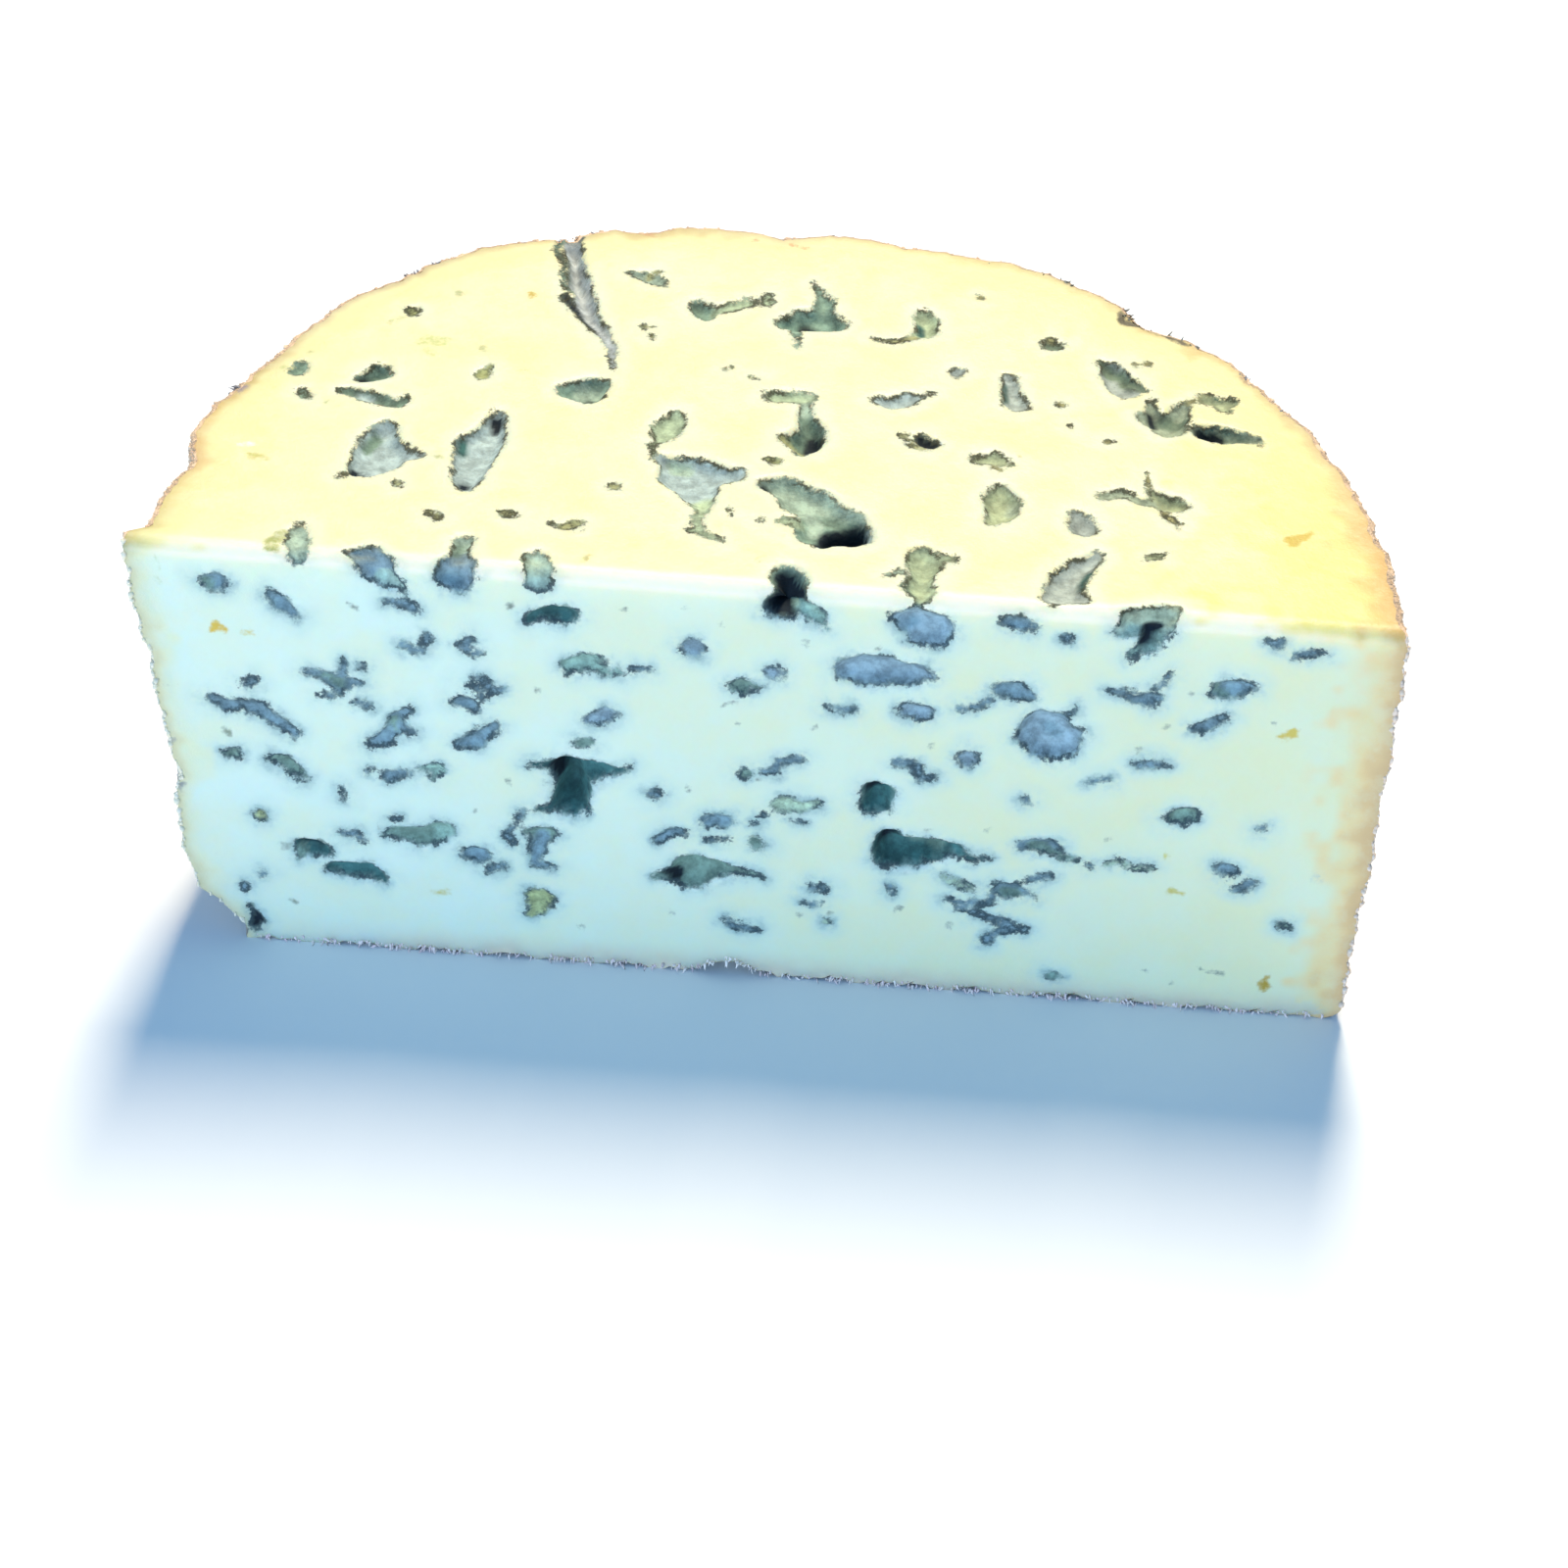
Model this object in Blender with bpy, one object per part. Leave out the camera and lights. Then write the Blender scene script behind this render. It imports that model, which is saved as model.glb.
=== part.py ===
"""Half of a small drum of blue cheese, lying on its rind end as it was cut.

One solid: a half-round slab with an upright cut face in front, a level cut
face on top, dry rind round the back and underneath, and the open mould
pockets of both cut faces. Modelled in metres, +Z up, with the origin on the
ground under the middle of its box. Working sizes below are in millimetres,
with x across the cut face from the drum's axis, y back from the cut face and
z up from the ground.
"""

import math

import bmesh
import bpy
import numpy as np

MM = 0.001

# Driving dimensions of the slab.
DRUM_RADIUS = 64.4
SLAB_HEIGHT = 53.0
AXIS_BEHIND_CUT = 4.4
CUT_EDGE_ROUND = 1.7
TOP_RIM_ROUND = 0.8
FOOT_ROUND_RIGHT = 1.8

# The left foot is worn in: how far at the ground, and how high the wear runs up.
FOOT_WORN_IN, FOOT_WORN_HIGH = 6.4, 13.0

# The left side leans in towards its foot, and the left of the back swells out.
LEFT_LEAN = 2.9
SWELL, SWELL_ANGLE, SWELL_SPREAD = 2.3, 128.0, 24.0

# Rind that the knife dragged out beyond the arc, at the left of the cut face.
LIP_REACH, LIP_THICKNESS, LIP_STEP, LIP_FOOT = 2.2, 1.7, 1.4, 24.0

# The rind's low bumps: height, how many round the drum, how many up it, and a start.
RIND_BUMPS = (
    (0.34, 5.0, 0.9, 0.4),
    (0.24, 11.0, 1.7, 2.1),
    (0.20, 19.0, 2.6, 1.2),
    (0.12, 31.0, 4.1, 5.0),
)

# Spacing of the mesh along the rind, near its two ends and up the side.
RIND_STEP, END_STEP, END_STRETCH, LEVEL_STEP = 2.3, 0.7, 3.5, 3.4
CUT_FACE_COLUMNS = 10

# Dents in the rind: angle round the drum in degrees (0 at the right end of
# the cut, 90 straight behind), height, half width, half height and depth, which
# is below 0 for a swelling.
RIND_DENTS = (
    (-5.0, 27.0, 9.0, 60.0, -0.6),
    (-5.0, 25.0, 9.0, 9.0, -0.5),
    (170.5, 50.0, 2.6, 14.0, 1.2),
    (157.5, 51.0, 2.2, 7.0, 0.3),
    (144.0, 50.0, 5.0, 12.0, 0.6),
    (131.0, 52.0, 3.0, 6.0, 0.3),
    (114.4, 49.0, 1.9, 13.0, 0.4),
    (106.4, 52.0, 2.8, 8.0, 1.0),
    (91.9, 50.0, 3.4, 10.0, 1.3),
    (66.0, 50.0, 9.0, 14.0, -1.0),
    (52.0, 49.0, 3.4, 13.0, 1.9),
    (42.0, 51.0, 3.0, 8.0, -0.7),
    (23.0, 30.0, 6.0, 6.0, 0.8),
    (46.0, 17.0, 7.0, 5.0, 1.1),
    (80.0, 25.0, 9.0, 6.0, 1.2),
    (100.0, 12.0, 6.0, 5.0, 1.0),
    (121.0, 29.0, 8.0, 7.0, 1.3),
    (146.0, 18.0, 6.0, 6.0, 1.0),
    (166.0, 27.0, 5.0, 6.0, 0.9),
    (184.0, 38.5, 1.6, 1.6, 0.5),
    (184.0, 23.0, 1.8, 1.6, 0.7),
    (184.0, 6.8, 6.0, 1.5, -1.1),
    (184.0, 0.0, 6.0, 1.2, -0.6),
)

# Pockets opened by the level cut: x, y, length, width, turn in degrees, how
# pointed the far end is (0 round, 1 sharp) and depth.
TOP_POCKETS = (
    (-42.6, 19.4, 10.4, 6.4, 90, 0.2, 1.6),
    (-32.6, 20.2, 13.6, 4.3, 80, 0.1, 1.5),
    (-12.9, 27.8, 5.0, 3.3, 100, 0.2, 0.9),
    (-9.3, 18.2, 10.8, 8.2, -78, 0.6, 1.8),
    (2.6, 14.9, 13.6, 5.6, -47, 0.0, 2.6),
    (6.4, 10.2, 4.4, 3.2, 25, 0.0, 6.0),
    (14.6, 5.0, 9.0, 3.8, -85, 0.3, 1.2),
    (30.2, 5.8, 10.6, 3.4, 58, 0.5, 1.4),
    (22.9, 17.9, 7.4, 4.0, 100, 0.5, 1.2),
    (22.1, 26.3, 4.6, 1.9, -14, 0.0, 0.7),
    (31.3, 15.6, 4.3, 3.1, 118, 0.0, 0.9),
    (39.4, 20.7, 6.0, 3.8, -25, 0.2, 1.2),
    (35.0, 21.0, 4.0, 1.2, 188, 0.3, 0.7),
    (-45.3, 33.6, 4.2, 3.1, 55, 0.0, 2.0),
    (-44.7, 28.9, 7.2, 2.0, -12, 0.0, 1.4),
    (-53.3, 33.6, 3.0, 1.7, 90, 0.0, 0.8),
    (-52.1, 28.9, 2.4, 1.0, -48, 0.0, 1.4),
    (-22.4, 33.2, 5.4, 4.6, 20, 0.0, 2.2),
    (-26.6, 61.0, 8.8, 2.9, 95, 0.0, 3.2),
    (-25.1, 54.6, 8.6, 2.7, -84, 0.0, 2.5),
    (-23.6, 49.0, 7.0, 2.5, -66, 0.0, 1.9),
    (-20.9, 43.0, 8.6, 2.2, -66, 0.6, 1.1),
    (-17.5, 56.5, 4.8, 2.2, 0, 0.3, 0.8),
    (-10.9, 50.9, 4.0, 2.8, -50, 0.0, 1.3),
    (0.9, 50.6, 7.0, 5.2, 15, 0.0, 2.4),
    (14.2, 50.9, 5.8, 3.1, 92, 0.3, 1.1),
    (28.1, 48.9, 2.7, 1.5, 10, 0.5, 0.8),
    (35.9, 42.7, 6.8, 3.6, -62, 0.0, 1.5),
    (40.4, 35.3, 5.6, 4.4, 0, 0.0, 1.6),
    (42.6, 38.4, 4.6, 1.5, 68, 0.0, 1.1),
    (46.8, 39.6, 3.6, 2.7, 90, 0.0, 0.9),
    (46.8, 33.6, 7.0, 3.7, -5, 0.5, 2.2),
    (24.2, 38.7, 7.0, 2.9, 92, 0.5, 1.1),
    (10.9, 35.8, 5.4, 2.8, 12, 0.2, 1.0),
    (15.3, 28.3, 3.0, 1.9, -38, 0.0, 2.2),
    (2.2, 27.6, 8.4, 4.0, 95, 0.6, 3.4),
    (-0.3, 34.8, 5.2, 2.1, 0, 0.0, 0.8),
)

# Pockets opened by the upright cut, with z in place of y.
FRONT_POCKETS = (
    (-57.6, 48.5, 3.0, 2.2, 0, 0.0, 1.0),
    (-50.0, 46.5, 4.6, 1.9, -42, 0.0, 0.9),
    (-45.4, 37.3, 5.4, 2.1, -12, 0.0, 0.9),
    (-54.2, 32.6, 5.0, 2.0, -18, 0.0, 0.5),
    (-50.5, 30.0, 3.2, 1.8, -35, 0.0, 0.5),
    (-38.6, 31.3, 6.6, 2.5, 55, 0.0, 1.1),
    (-56.2, 25.8, 2.2, 1.5, 0, 0.0, 0.9),
    (-50.2, 24.9, 4.6, 1.6, -45, 0.2, 1.3),
    (-34.7, 25.8, 2.8, 1.9, 70, 0.0, 0.7),
    (-39.2, 24.4, 2.8, 1.6, 0, 0.2, 0.7),
    (-36.1, 16.8, 7.2, 2.8, 12, 0.0, 1.7),
    (-48.2, 13.6, 3.8, 2.9, -30, 0.2, 2.2),
    (-43.2, 10.7, 6.4, 2.0, -5, 0.0, 2.0),
    (-54.2, 2.7, 3.0, 1.4, 90, 0.4, 2.0),
    (-22.3, 47.6, 5.4, 2.5, 5, 0.1, 2.2),
    (-7.8, 44.7, 2.5, 1.9, 0, 0.0, 0.8),
    (-18.9, 41.3, 5.0, 2.1, -5, 0.2, 1.0),
    (-2.4, 40.0, 3.1, 1.4, 15, 0.0, 1.2),
    (-29.2, 37.5, 3.0, 1.9, -40, 0.0, 0.7),
    (-31.6, 35.0, 3.0, 2.2, 0, 0.0, 0.8),
    (-17.4, 34.6, 3.8, 1.8, 50, 0.0, 0.8),
    (-18.9, 31.2, 1.9, 1.2, 5, 0.0, 1.0),
    (-30.6, 30.0, 3.2, 1.9, 20, 0.0, 0.9),
    (-19.9, 25.3, 7.4, 3.5, 90, 0.0, 5.0),
    (-16.8, 27.4, 5.0, 1.6, 12, 0.5, 2.0),
    (-23.2, 27.3, 3.6, 1.0, 182, 0.4, 1.0),
    (-4.5, 21.8, 2.5, 2.0, 0, 0.0, 0.9),
    (-8.8, 19.3, 2.6, 1.3, 10, 0.2, 1.0),
    (-23.0, 17.9, 3.6, 1.5, -5, 0.0, 1.2),
    (-23.8, 15.4, 3.6, 1.2, -95, 0.2, 1.0),
    (-30.3, 14.4, 2.6, 2.1, 0, 0.0, 0.9),
    (-23.3, 8.3, 3.4, 3.1, -110, 0.3, 0.7),
    (-6.4, 14.2, 7.2, 4.4, 12, 0.6, 2.6),
    (16.0, 49.2, 6.0, 4.3, -25, 0.0, 1.5),
    (11.9, 43.4, 10.4, 4.0, -2, 0.0, 1.6),
    (25.1, 51.0, 3.2, 1.7, -30, 0.0, 0.8),
    (25.9, 42.3, 4.0, 2.4, -22, 0.0, 0.9),
    (15.6, 38.6, 3.6, 2.1, -5, 0.0, 0.9),
    (21.4, 32.9, 2.5, 2.2, 0, 0.0, 0.8),
    (29.8, 36.6, 7.0, 6.3, -40, 0.0, 1.7),
    (17.4, 29.9, 2.6, 1.1, 0, 0.0, 0.9),
    (12.1, 26.5, 4.0, 3.3, 90, 0.0, 4.0),
    (2.7, 24.9, 4.6, 2.2, 0, 0.4, 0.6),
    (0.0, 18.9, 1.8, 1.4, 0, 0.0, 1.0),
    (17.2, 19.3, 8.4, 4.7, -2, 0.4, 4.0),
    (30.3, 21.3, 5.6, 1.9, -12, 0.1, 1.6),
    (27.5, 15.1, 3.6, 2.3, -10, 0.0, 1.4),
    (25.9, 8.6, 3.2, 1.3, 62, 0.0, 0.8),
    (47.7, 44.4, 4.4, 2.5, 8, 0.1, 1.2),
    (38.9, 42.4, 3.8, 1.9, -15, 0.0, 1.0),
    (45.6, 39.2, 3.4, 1.6, 30, 0.1, 0.8),
    (44.7, 27.2, 3.4, 1.9, 15, 0.1, 1.2),
    (49.9, 20.0, 2.4, 2.3, 0, 0.0, 1.0),
    (52.5, 18.4, 1.8, 1.3, 0, 0.0, 0.9),
    (57.1, 12.9, 1.7, 1.1, 0, 0.0, 0.9),
    (33.1, 3.1, 2.0, 1.2, 0, 0.0, 0.8),
)

# Pockets broken open by both cuts, on their shared edge: x, width, how far
# down the front and how far back on the top they run, and depth.
EDGE_POCKETS = (
    (-48.9, 2.2, 1.2, 5.0, 0.7),
    (-40.9, 5.2, 3.0, 2.0, 1.4),
    (-32.1, 4.4, 2.9, 3.0, 2.2),
    (-24.0, 3.5, 1.9, 3.0, 1.0),
    (1.7, 3.6, 2.5, 3.7, 4.5),
    (38.3, 5.2, 2.8, 2.8, 1.8),
    (39.0, 2.2, 2.7, 0.6, 4.5),
)

# A place where the foot of the cut face has lifted off the ground.
FOOT_NOTCH_AT, FOOT_NOTCH_WIDE, FOOT_NOTCH_HIGH, FOOT_NOTCH_DEEP = -2.6, 6.0, 1.7, 5.0

# How the pockets narrow: the floor's size and the size half way down.
FLOOR_SIZE, WAIST_SIZE = 0.52, 0.88
POCKET_ROUGHNESS = 0.10
SMALL_POCKET = 3.3
SHALLOW_POCKET = 1.0

CREAM = (0.86, 0.80, 0.58, 1.0)


def clear_scene():
    for old in list(bpy.data.objects):
        bpy.data.objects.remove(old)


def bell(distance, half_width):
    """A smooth hump: 1 at no distance, about 0.37 at half_width."""
    return np.exp(-((distance / half_width) ** 2))


def quarter_round(gap, radius):
    """How far a quarter-round edge of this radius draws in, this far from its end."""
    inside = np.clip(radius - gap, 0.0, radius)
    return radius - np.sqrt(radius**2 - inside**2)


def ease(value, low, high):
    """An S-curve from 0 at low to 1 at high."""
    share = np.clip((value - low) / (high - low), 0.0, 1.0)
    return share * share * (3.0 - 2.0 * share)


def leftness(angle):
    """0 round the right and the back of the drum, 1 at its left end."""
    return ease(angle, 95.0, 170.0)


def rind_radius(angle, z):
    """Distance of the rind from the drum's axis, by angle in degrees and height.

    The drum's radius, plus the swelling, the bumps and the knife's lip, less
    the lean of the left side, the dents and the rounding at foot and rim.
    """
    turn = np.radians(angle)
    radius = DRUM_RADIUS + SWELL * bell(angle - SWELL_ANGLE, SWELL_SPREAD)
    for height, around, upward, start in RIND_BUMPS:
        waver = 0.9 * np.sin(0.6 * around * turn + 2.0 * start)
        rise = np.cos(upward * math.pi * z / SLAB_HEIGHT + waver + start)
        radius = radius + height * np.sin(around * turn + start) * rise
    left = leftness(angle)
    radius = radius - LEFT_LEAN * left * (1.0 - z / SLAB_HEIGHT)
    for at, level, half_width, half_height, depth in RIND_DENTS:
        along = np.radians(angle - at) * DRUM_RADIUS
        radius = radius - depth * bell(along, half_width) * bell(z - level, half_height)
    left_end = 180.0 + math.degrees(math.asin(AXIS_BEHIND_CUT / DRUM_RADIUS))
    behind_cut = np.radians(left_end - angle) * DRUM_RADIUS
    lip_share = np.clip((z - LIP_FOOT) / (SLAB_HEIGHT - LIP_FOOT), 0.0, 1.0)
    past_lip = ease(behind_cut, LIP_THICKNESS, LIP_THICKNESS + LIP_STEP)
    radius = radius + LIP_REACH * lip_share * (1.0 - past_lip)
    worn = FOOT_WORN_IN * (1.0 - ease(z, -1.0, FOOT_WORN_HIGH))
    radius = radius - left * worn - (1.0 - left) * quarter_round(z, FOOT_ROUND_RIGHT)
    return radius - quarter_round(SLAB_HEIGHT - z, TOP_RIM_ROUND)


def rind_shares():
    """Places along the rind from 0 at its right end to 1 at its left, finer near the ends."""
    length = math.pi * DRUM_RADIUS + 2.0 * AXIS_BEHIND_CUT
    fine = np.arange(0.0, END_STRETCH, END_STEP)
    coarse_count = round((length - 2.0 * END_STRETCH) / RIND_STEP)
    coarse = np.linspace(END_STRETCH, length - END_STRETCH, coarse_count + 1)
    return np.concatenate([fine, coarse, length - fine[::-1]]) / length


def level_heights():
    """Heights of the rings, closer together where the foot and the rim are round."""
    foot = FOOT_WORN_HIGH * np.array((0.0, 0.05, 0.15, 0.32, 0.5, 0.7, 0.88))
    rim = SLAB_HEIGHT - CUT_EDGE_ROUND * (1.0 - np.cos(np.radians((88, 66, 44, 22, 0))))
    count = round((rim[0] - foot[-1]) / LEVEL_STEP)
    between = np.linspace(foot[-1], rim[0], count + 1)[1:-1]
    return np.concatenate([foot, between, rim])


def ring_at(z):
    """One closed outline of the slab: round the rind, then back along the cut face."""
    face = float(quarter_round(SLAB_HEIGHT - z, CUT_EDGE_ROUND))
    ends = []
    for side in (0.0, 180.0):
        angle = side
        for _ in range(4):
            reach = float(rind_radius(np.array(angle), z))
            dip = math.degrees(math.asin((face - AXIS_BEHIND_CUT) / reach))
            angle = dip if side == 0.0 else 180.0 - dip
        ends.append(angle)
    angle = ends[0] + (ends[1] - ends[0]) * rind_shares()
    radius = rind_radius(angle, z)
    x = radius * np.cos(np.radians(angle))
    y = AXIS_BEHIND_CUT + radius * np.sin(np.radians(angle))
    y[[0, -1]] = face
    across = np.linspace(x[-1], x[0], CUT_FACE_COLUMNS + 1)[1:-1]
    x = np.concatenate([x, across])
    y = np.concatenate([y, np.full(len(across), face)])
    return np.stack([x, y, np.full(len(x), z)], axis=1)


def mesh_object(name, points, faces):
    mesh = bpy.data.meshes.new(name)
    mesh.from_pydata([tuple(point) for point in points], [], faces)
    mesh.update()
    made = bpy.data.objects.new(name, mesh)
    bpy.context.scene.collection.objects.link(made)
    return made


def stacked_rings(name, rings):
    """A closed solid through a stack of rings with equal counts, capped at both ends."""
    count = len(rings[0])
    points = np.concatenate(rings)
    faces = [list(range(count))[::-1]]
    for level in range(len(rings) - 1):
        low, high = level * count, (level + 1) * count
        for place in range(count):
            after = (place + 1) % count
            faces.append([low + place, low + after, high + after, high + place])
    faces.append([(len(rings) - 1) * count + place for place in range(count)])
    made = mesh_object(name, points, faces)
    shape = bmesh.new()
    shape.from_mesh(made.data)
    bmesh.ops.recalc_face_normals(shape, faces=shape.faces[:])
    shape.to_mesh(made.data)
    shape.free()
    return made


def teardrop(length, width, turn, pointed, rng):
    """Corners of a pocket's mouth: an uneven oval, drawn to a point at one end."""
    corners = 6 if length < SMALL_POCKET else 8
    around = (np.arange(corners) + rng.uniform(-0.12, 0.12, corners)) * 2.0 * np.pi / corners
    size = 1.0 + rng.uniform(-POCKET_ROUGHNESS, POCKET_ROUGHNESS, corners)
    along = 0.5 * length * np.cos(around) * size
    across = 0.5 * width * np.sin(around) * size * (1.0 - pointed * np.cos(around)) * 1.12
    cos, sin = math.cos(math.radians(turn)), math.sin(math.radians(turn))
    return np.stack([along * cos - across * sin, along * sin + across * cos], axis=1)


def pocket_cutter(name, mouth, centre, right, up, out, levels):
    """A plug through rings of the mouth's shape, each at a height along out and a size."""
    rings = []
    for height, size in levels:
        flat = mouth * size
        rings.append(centre + flat[:, :1] * right + flat[:, 1:] * up + height * out)
    return stacked_rings(name, rings)


def face_levels(depth):
    """Heights and sizes of a plug's rings, so that it has its true size at the face."""
    above = 0.8
    flare = 1.0 + (1.0 - WAIST_SIZE) * above / (0.5 * depth)
    if depth <= SHALLOW_POCKET:
        slope = (1.0 - FLOOR_SIZE) / depth
        return ((-depth, FLOOR_SIZE), (above, 1.0 + slope * above))
    return ((-depth, FLOOR_SIZE), (-0.5 * depth, WAIST_SIZE), (above, flare))


def pocket_cutters():
    """Every plug that opens a pocket in the slab, in one list."""
    rng = np.random.default_rng(7)
    x_axis, y_axis, z_axis = np.eye(3)
    cutters = []
    for number, (x, y, length, width, turn, pointed, depth) in enumerate(TOP_POCKETS):
        mouth = teardrop(length, width, turn, pointed, rng)
        centre = np.array((x, y, SLAB_HEIGHT))
        name = f"top_plug_{number}"
        cutters.append(
            pocket_cutter(name, mouth, centre, x_axis, y_axis, z_axis, face_levels(depth))
        )
    for number, (x, z, length, width, turn, pointed, depth) in enumerate(FRONT_POCKETS):
        mouth = teardrop(length, width, turn, pointed, rng)
        centre = np.array((x, 0.0, z))
        name = f"front_plug_{number}"
        cutters.append(
            pocket_cutter(name, mouth, centre, x_axis, z_axis, -y_axis, face_levels(depth))
        )
    slant_up = (y_axis + z_axis) / math.sqrt(2.0)
    slant_out = (z_axis - y_axis) / math.sqrt(2.0)
    for number, (x, width, down, back, depth) in enumerate(EDGE_POCKETS):
        reach = (down + back) / math.sqrt(2.0)
        mouth = teardrop(reach, width, 90, 0.0, rng)
        shift = 0.5 * (back - down) / math.sqrt(2.0)
        centre = np.array((x, 0.0, SLAB_HEIGHT)) + shift * slant_up
        knee = 0.5 * reach + abs(shift)
        levels = ((-knee - depth, FLOOR_SIZE), (-knee, 0.95), (1.5, 1.0))
        name = f"edge_plug_{number}"
        cutters.append(
            pocket_cutter(name, mouth, centre, x_axis, slant_up, slant_out, levels)
        )
    return cutters


def foot_cutter():
    """The low arch where the foot of the cut face has lifted."""
    around = np.linspace(0.0, math.pi, 9)
    arch = np.stack([np.cos(around) * FOOT_NOTCH_WIDE / 2.0, np.sin(around)], axis=1)
    below = np.array(((-FOOT_NOTCH_WIDE / 2.0, -0.8), (FOOT_NOTCH_WIDE / 2.0, -0.8)))
    rings = []
    for y, share in ((-1.0, 1.25), (FOOT_NOTCH_DEEP, 0.2)):
        x = np.concatenate([arch[:, 0], below[:, 0]])
        z = np.concatenate([arch[:, 1] * FOOT_NOTCH_HIGH * share, below[:, 1]])
        rings.append(np.stack([FOOT_NOTCH_AT + x, np.full(len(x), y), z], axis=1))
    return stacked_rings("foot_plug", rings)


def cut_pockets(slab, cutters):
    """Takes every plug out of the slab with one Boolean, then removes the plugs."""
    group = bpy.data.collections.new("plugs")
    bpy.context.scene.collection.children.link(group)
    for cutter in cutters:
        bpy.context.scene.collection.objects.unlink(cutter)
        group.objects.link(cutter)
    cut = slab.modifiers.new("open the pockets", "BOOLEAN")
    cut.operation = "DIFFERENCE"
    cut.operand_type = "COLLECTION"
    cut.collection = group
    bpy.context.view_layer.objects.active = slab
    bpy.ops.object.modifier_apply(modifier=cut.name)
    for cutter in cutters:
        bpy.data.objects.remove(cutter)
    bpy.data.collections.remove(group)


def settle_on_origin(slab):
    """Moves the mesh so that the middle of its box's foot is the origin, in metres."""
    points = np.empty(len(slab.data.vertices) * 3)
    slab.data.vertices.foreach_get("co", points)
    points = points.reshape(-1, 3)
    middle = 0.5 * (points.min(axis=0) + points.max(axis=0))
    middle[2] = points[:, 2].min()
    slab.data.vertices.foreach_set("co", ((points - middle) * MM).ravel())
    slab.data.update()


def cheese_material():
    material = bpy.data.materials.new("blue cheese")
    material.use_nodes = True
    shader = material.node_tree.nodes["Principled BSDF"]
    shader.inputs["Base Color"].default_value = CREAM
    shader.inputs["Roughness"].default_value = 0.55
    shader.inputs["Metallic"].default_value = 0.0
    return material


clear_scene()
cheese = stacked_rings("cheese", [ring_at(height) for height in level_heights()])
cut_pockets(cheese, pocket_cutters() + [foot_cutter()])
settle_on_origin(cheese)
cheese.data.shade_smooth()
cheese.data.set_sharp_from_angle(angle=math.radians(35.0))
cheese.data.materials.append(cheese_material())
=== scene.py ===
"""Half of a small drum of blue cheese, cut upright through the middle and level across.

The cream paste is one sheet that runs up the front cut, over the rounded edge and back
over the top cut, pressed in at every pocket of mould. The dry rind is a second sheet
round the back and underneath. Crumbs of crust stand out all over it, and short tufts of
mould along its edges. Working sizes are in millimetres: x across from the drum's axis,
y back from the front cut and z up from the ground.
"""

import itertools
import math

import bmesh
import bpy
import mathutils
import numpy as np
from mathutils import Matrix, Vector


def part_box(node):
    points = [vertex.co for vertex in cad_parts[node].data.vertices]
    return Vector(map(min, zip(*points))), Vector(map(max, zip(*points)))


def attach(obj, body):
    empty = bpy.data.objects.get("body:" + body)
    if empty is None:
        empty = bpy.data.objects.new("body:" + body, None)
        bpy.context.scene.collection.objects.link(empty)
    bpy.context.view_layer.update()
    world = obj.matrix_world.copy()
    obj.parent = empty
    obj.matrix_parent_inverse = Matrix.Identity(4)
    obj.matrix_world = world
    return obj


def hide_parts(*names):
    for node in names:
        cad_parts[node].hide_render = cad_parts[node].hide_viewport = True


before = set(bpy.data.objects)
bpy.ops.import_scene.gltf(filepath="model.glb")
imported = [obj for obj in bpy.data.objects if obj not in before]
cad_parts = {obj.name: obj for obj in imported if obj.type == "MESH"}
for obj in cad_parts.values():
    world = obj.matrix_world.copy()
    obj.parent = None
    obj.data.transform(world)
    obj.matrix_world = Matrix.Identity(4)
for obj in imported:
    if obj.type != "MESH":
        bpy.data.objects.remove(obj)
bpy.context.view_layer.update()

# The paste: soft cream cheese with open pockets lined with blue-green mould. The real
# faces are wire cuts, flat but for the pockets, with one rounded edge between them.
# It is made as one sheet of columns across and rows up the front and back over the top.

MM = 0.001
DRUM_RADIUS = 64.4
SLAB_HEIGHT = 53.0
AXIS_BEHIND_CUT = 4.4
CUT_EDGE_ROUND = 1.7
TOP_RIM_ROUND = 0.8
FOOT_ROUND_RIGHT = 1.8
FOOT_WORN_IN, FOOT_WORN_HIGH = 6.4, 13.0
LEFT_LEAN, LEFT_FROM, LEFT_FULL = 2.9, 95.0, 170.0
SWELL, SWELL_ANGLE, SWELL_SPREAD = 2.3, 128.0, 24.0
LIP_REACH, LIP_THICKNESS, LIP_STEP, LIP_FOOT = 2.2, 1.7, 1.4, 24.0
FOOT_NOTCH_AT, FOOT_NOTCH_HALF, FOOT_NOTCH_HIGH, FOOT_NOTCH_DEEP = -2.6, 2.6, 1.7, 5.0

# Bumps round the rind: height, how many round the drum, how many up it, and a start.
RIND_BUMPS = (
    (0.34, 5.0, 0.9, 0.4),
    (0.24, 11.0, 1.7, 2.1),
    (0.20, 19.0, 2.6, 1.2),
    (0.12, 31.0, 4.1, 5.0),
)

# Random relief, as layers of height, size and seed: the crust, and the teeth of the foot.
CRUST_RELIEF = ((0.26, 3.1, 31), (0.2, 1.4, 32), (0.17, 0.8, 33))
TEETH_HEIGHT, TEETH_RELIEF, TEETH_FADE = 0.25, ((0.25, 2.3, 41), (0.4, 0.8, 42)), 3.0

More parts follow.
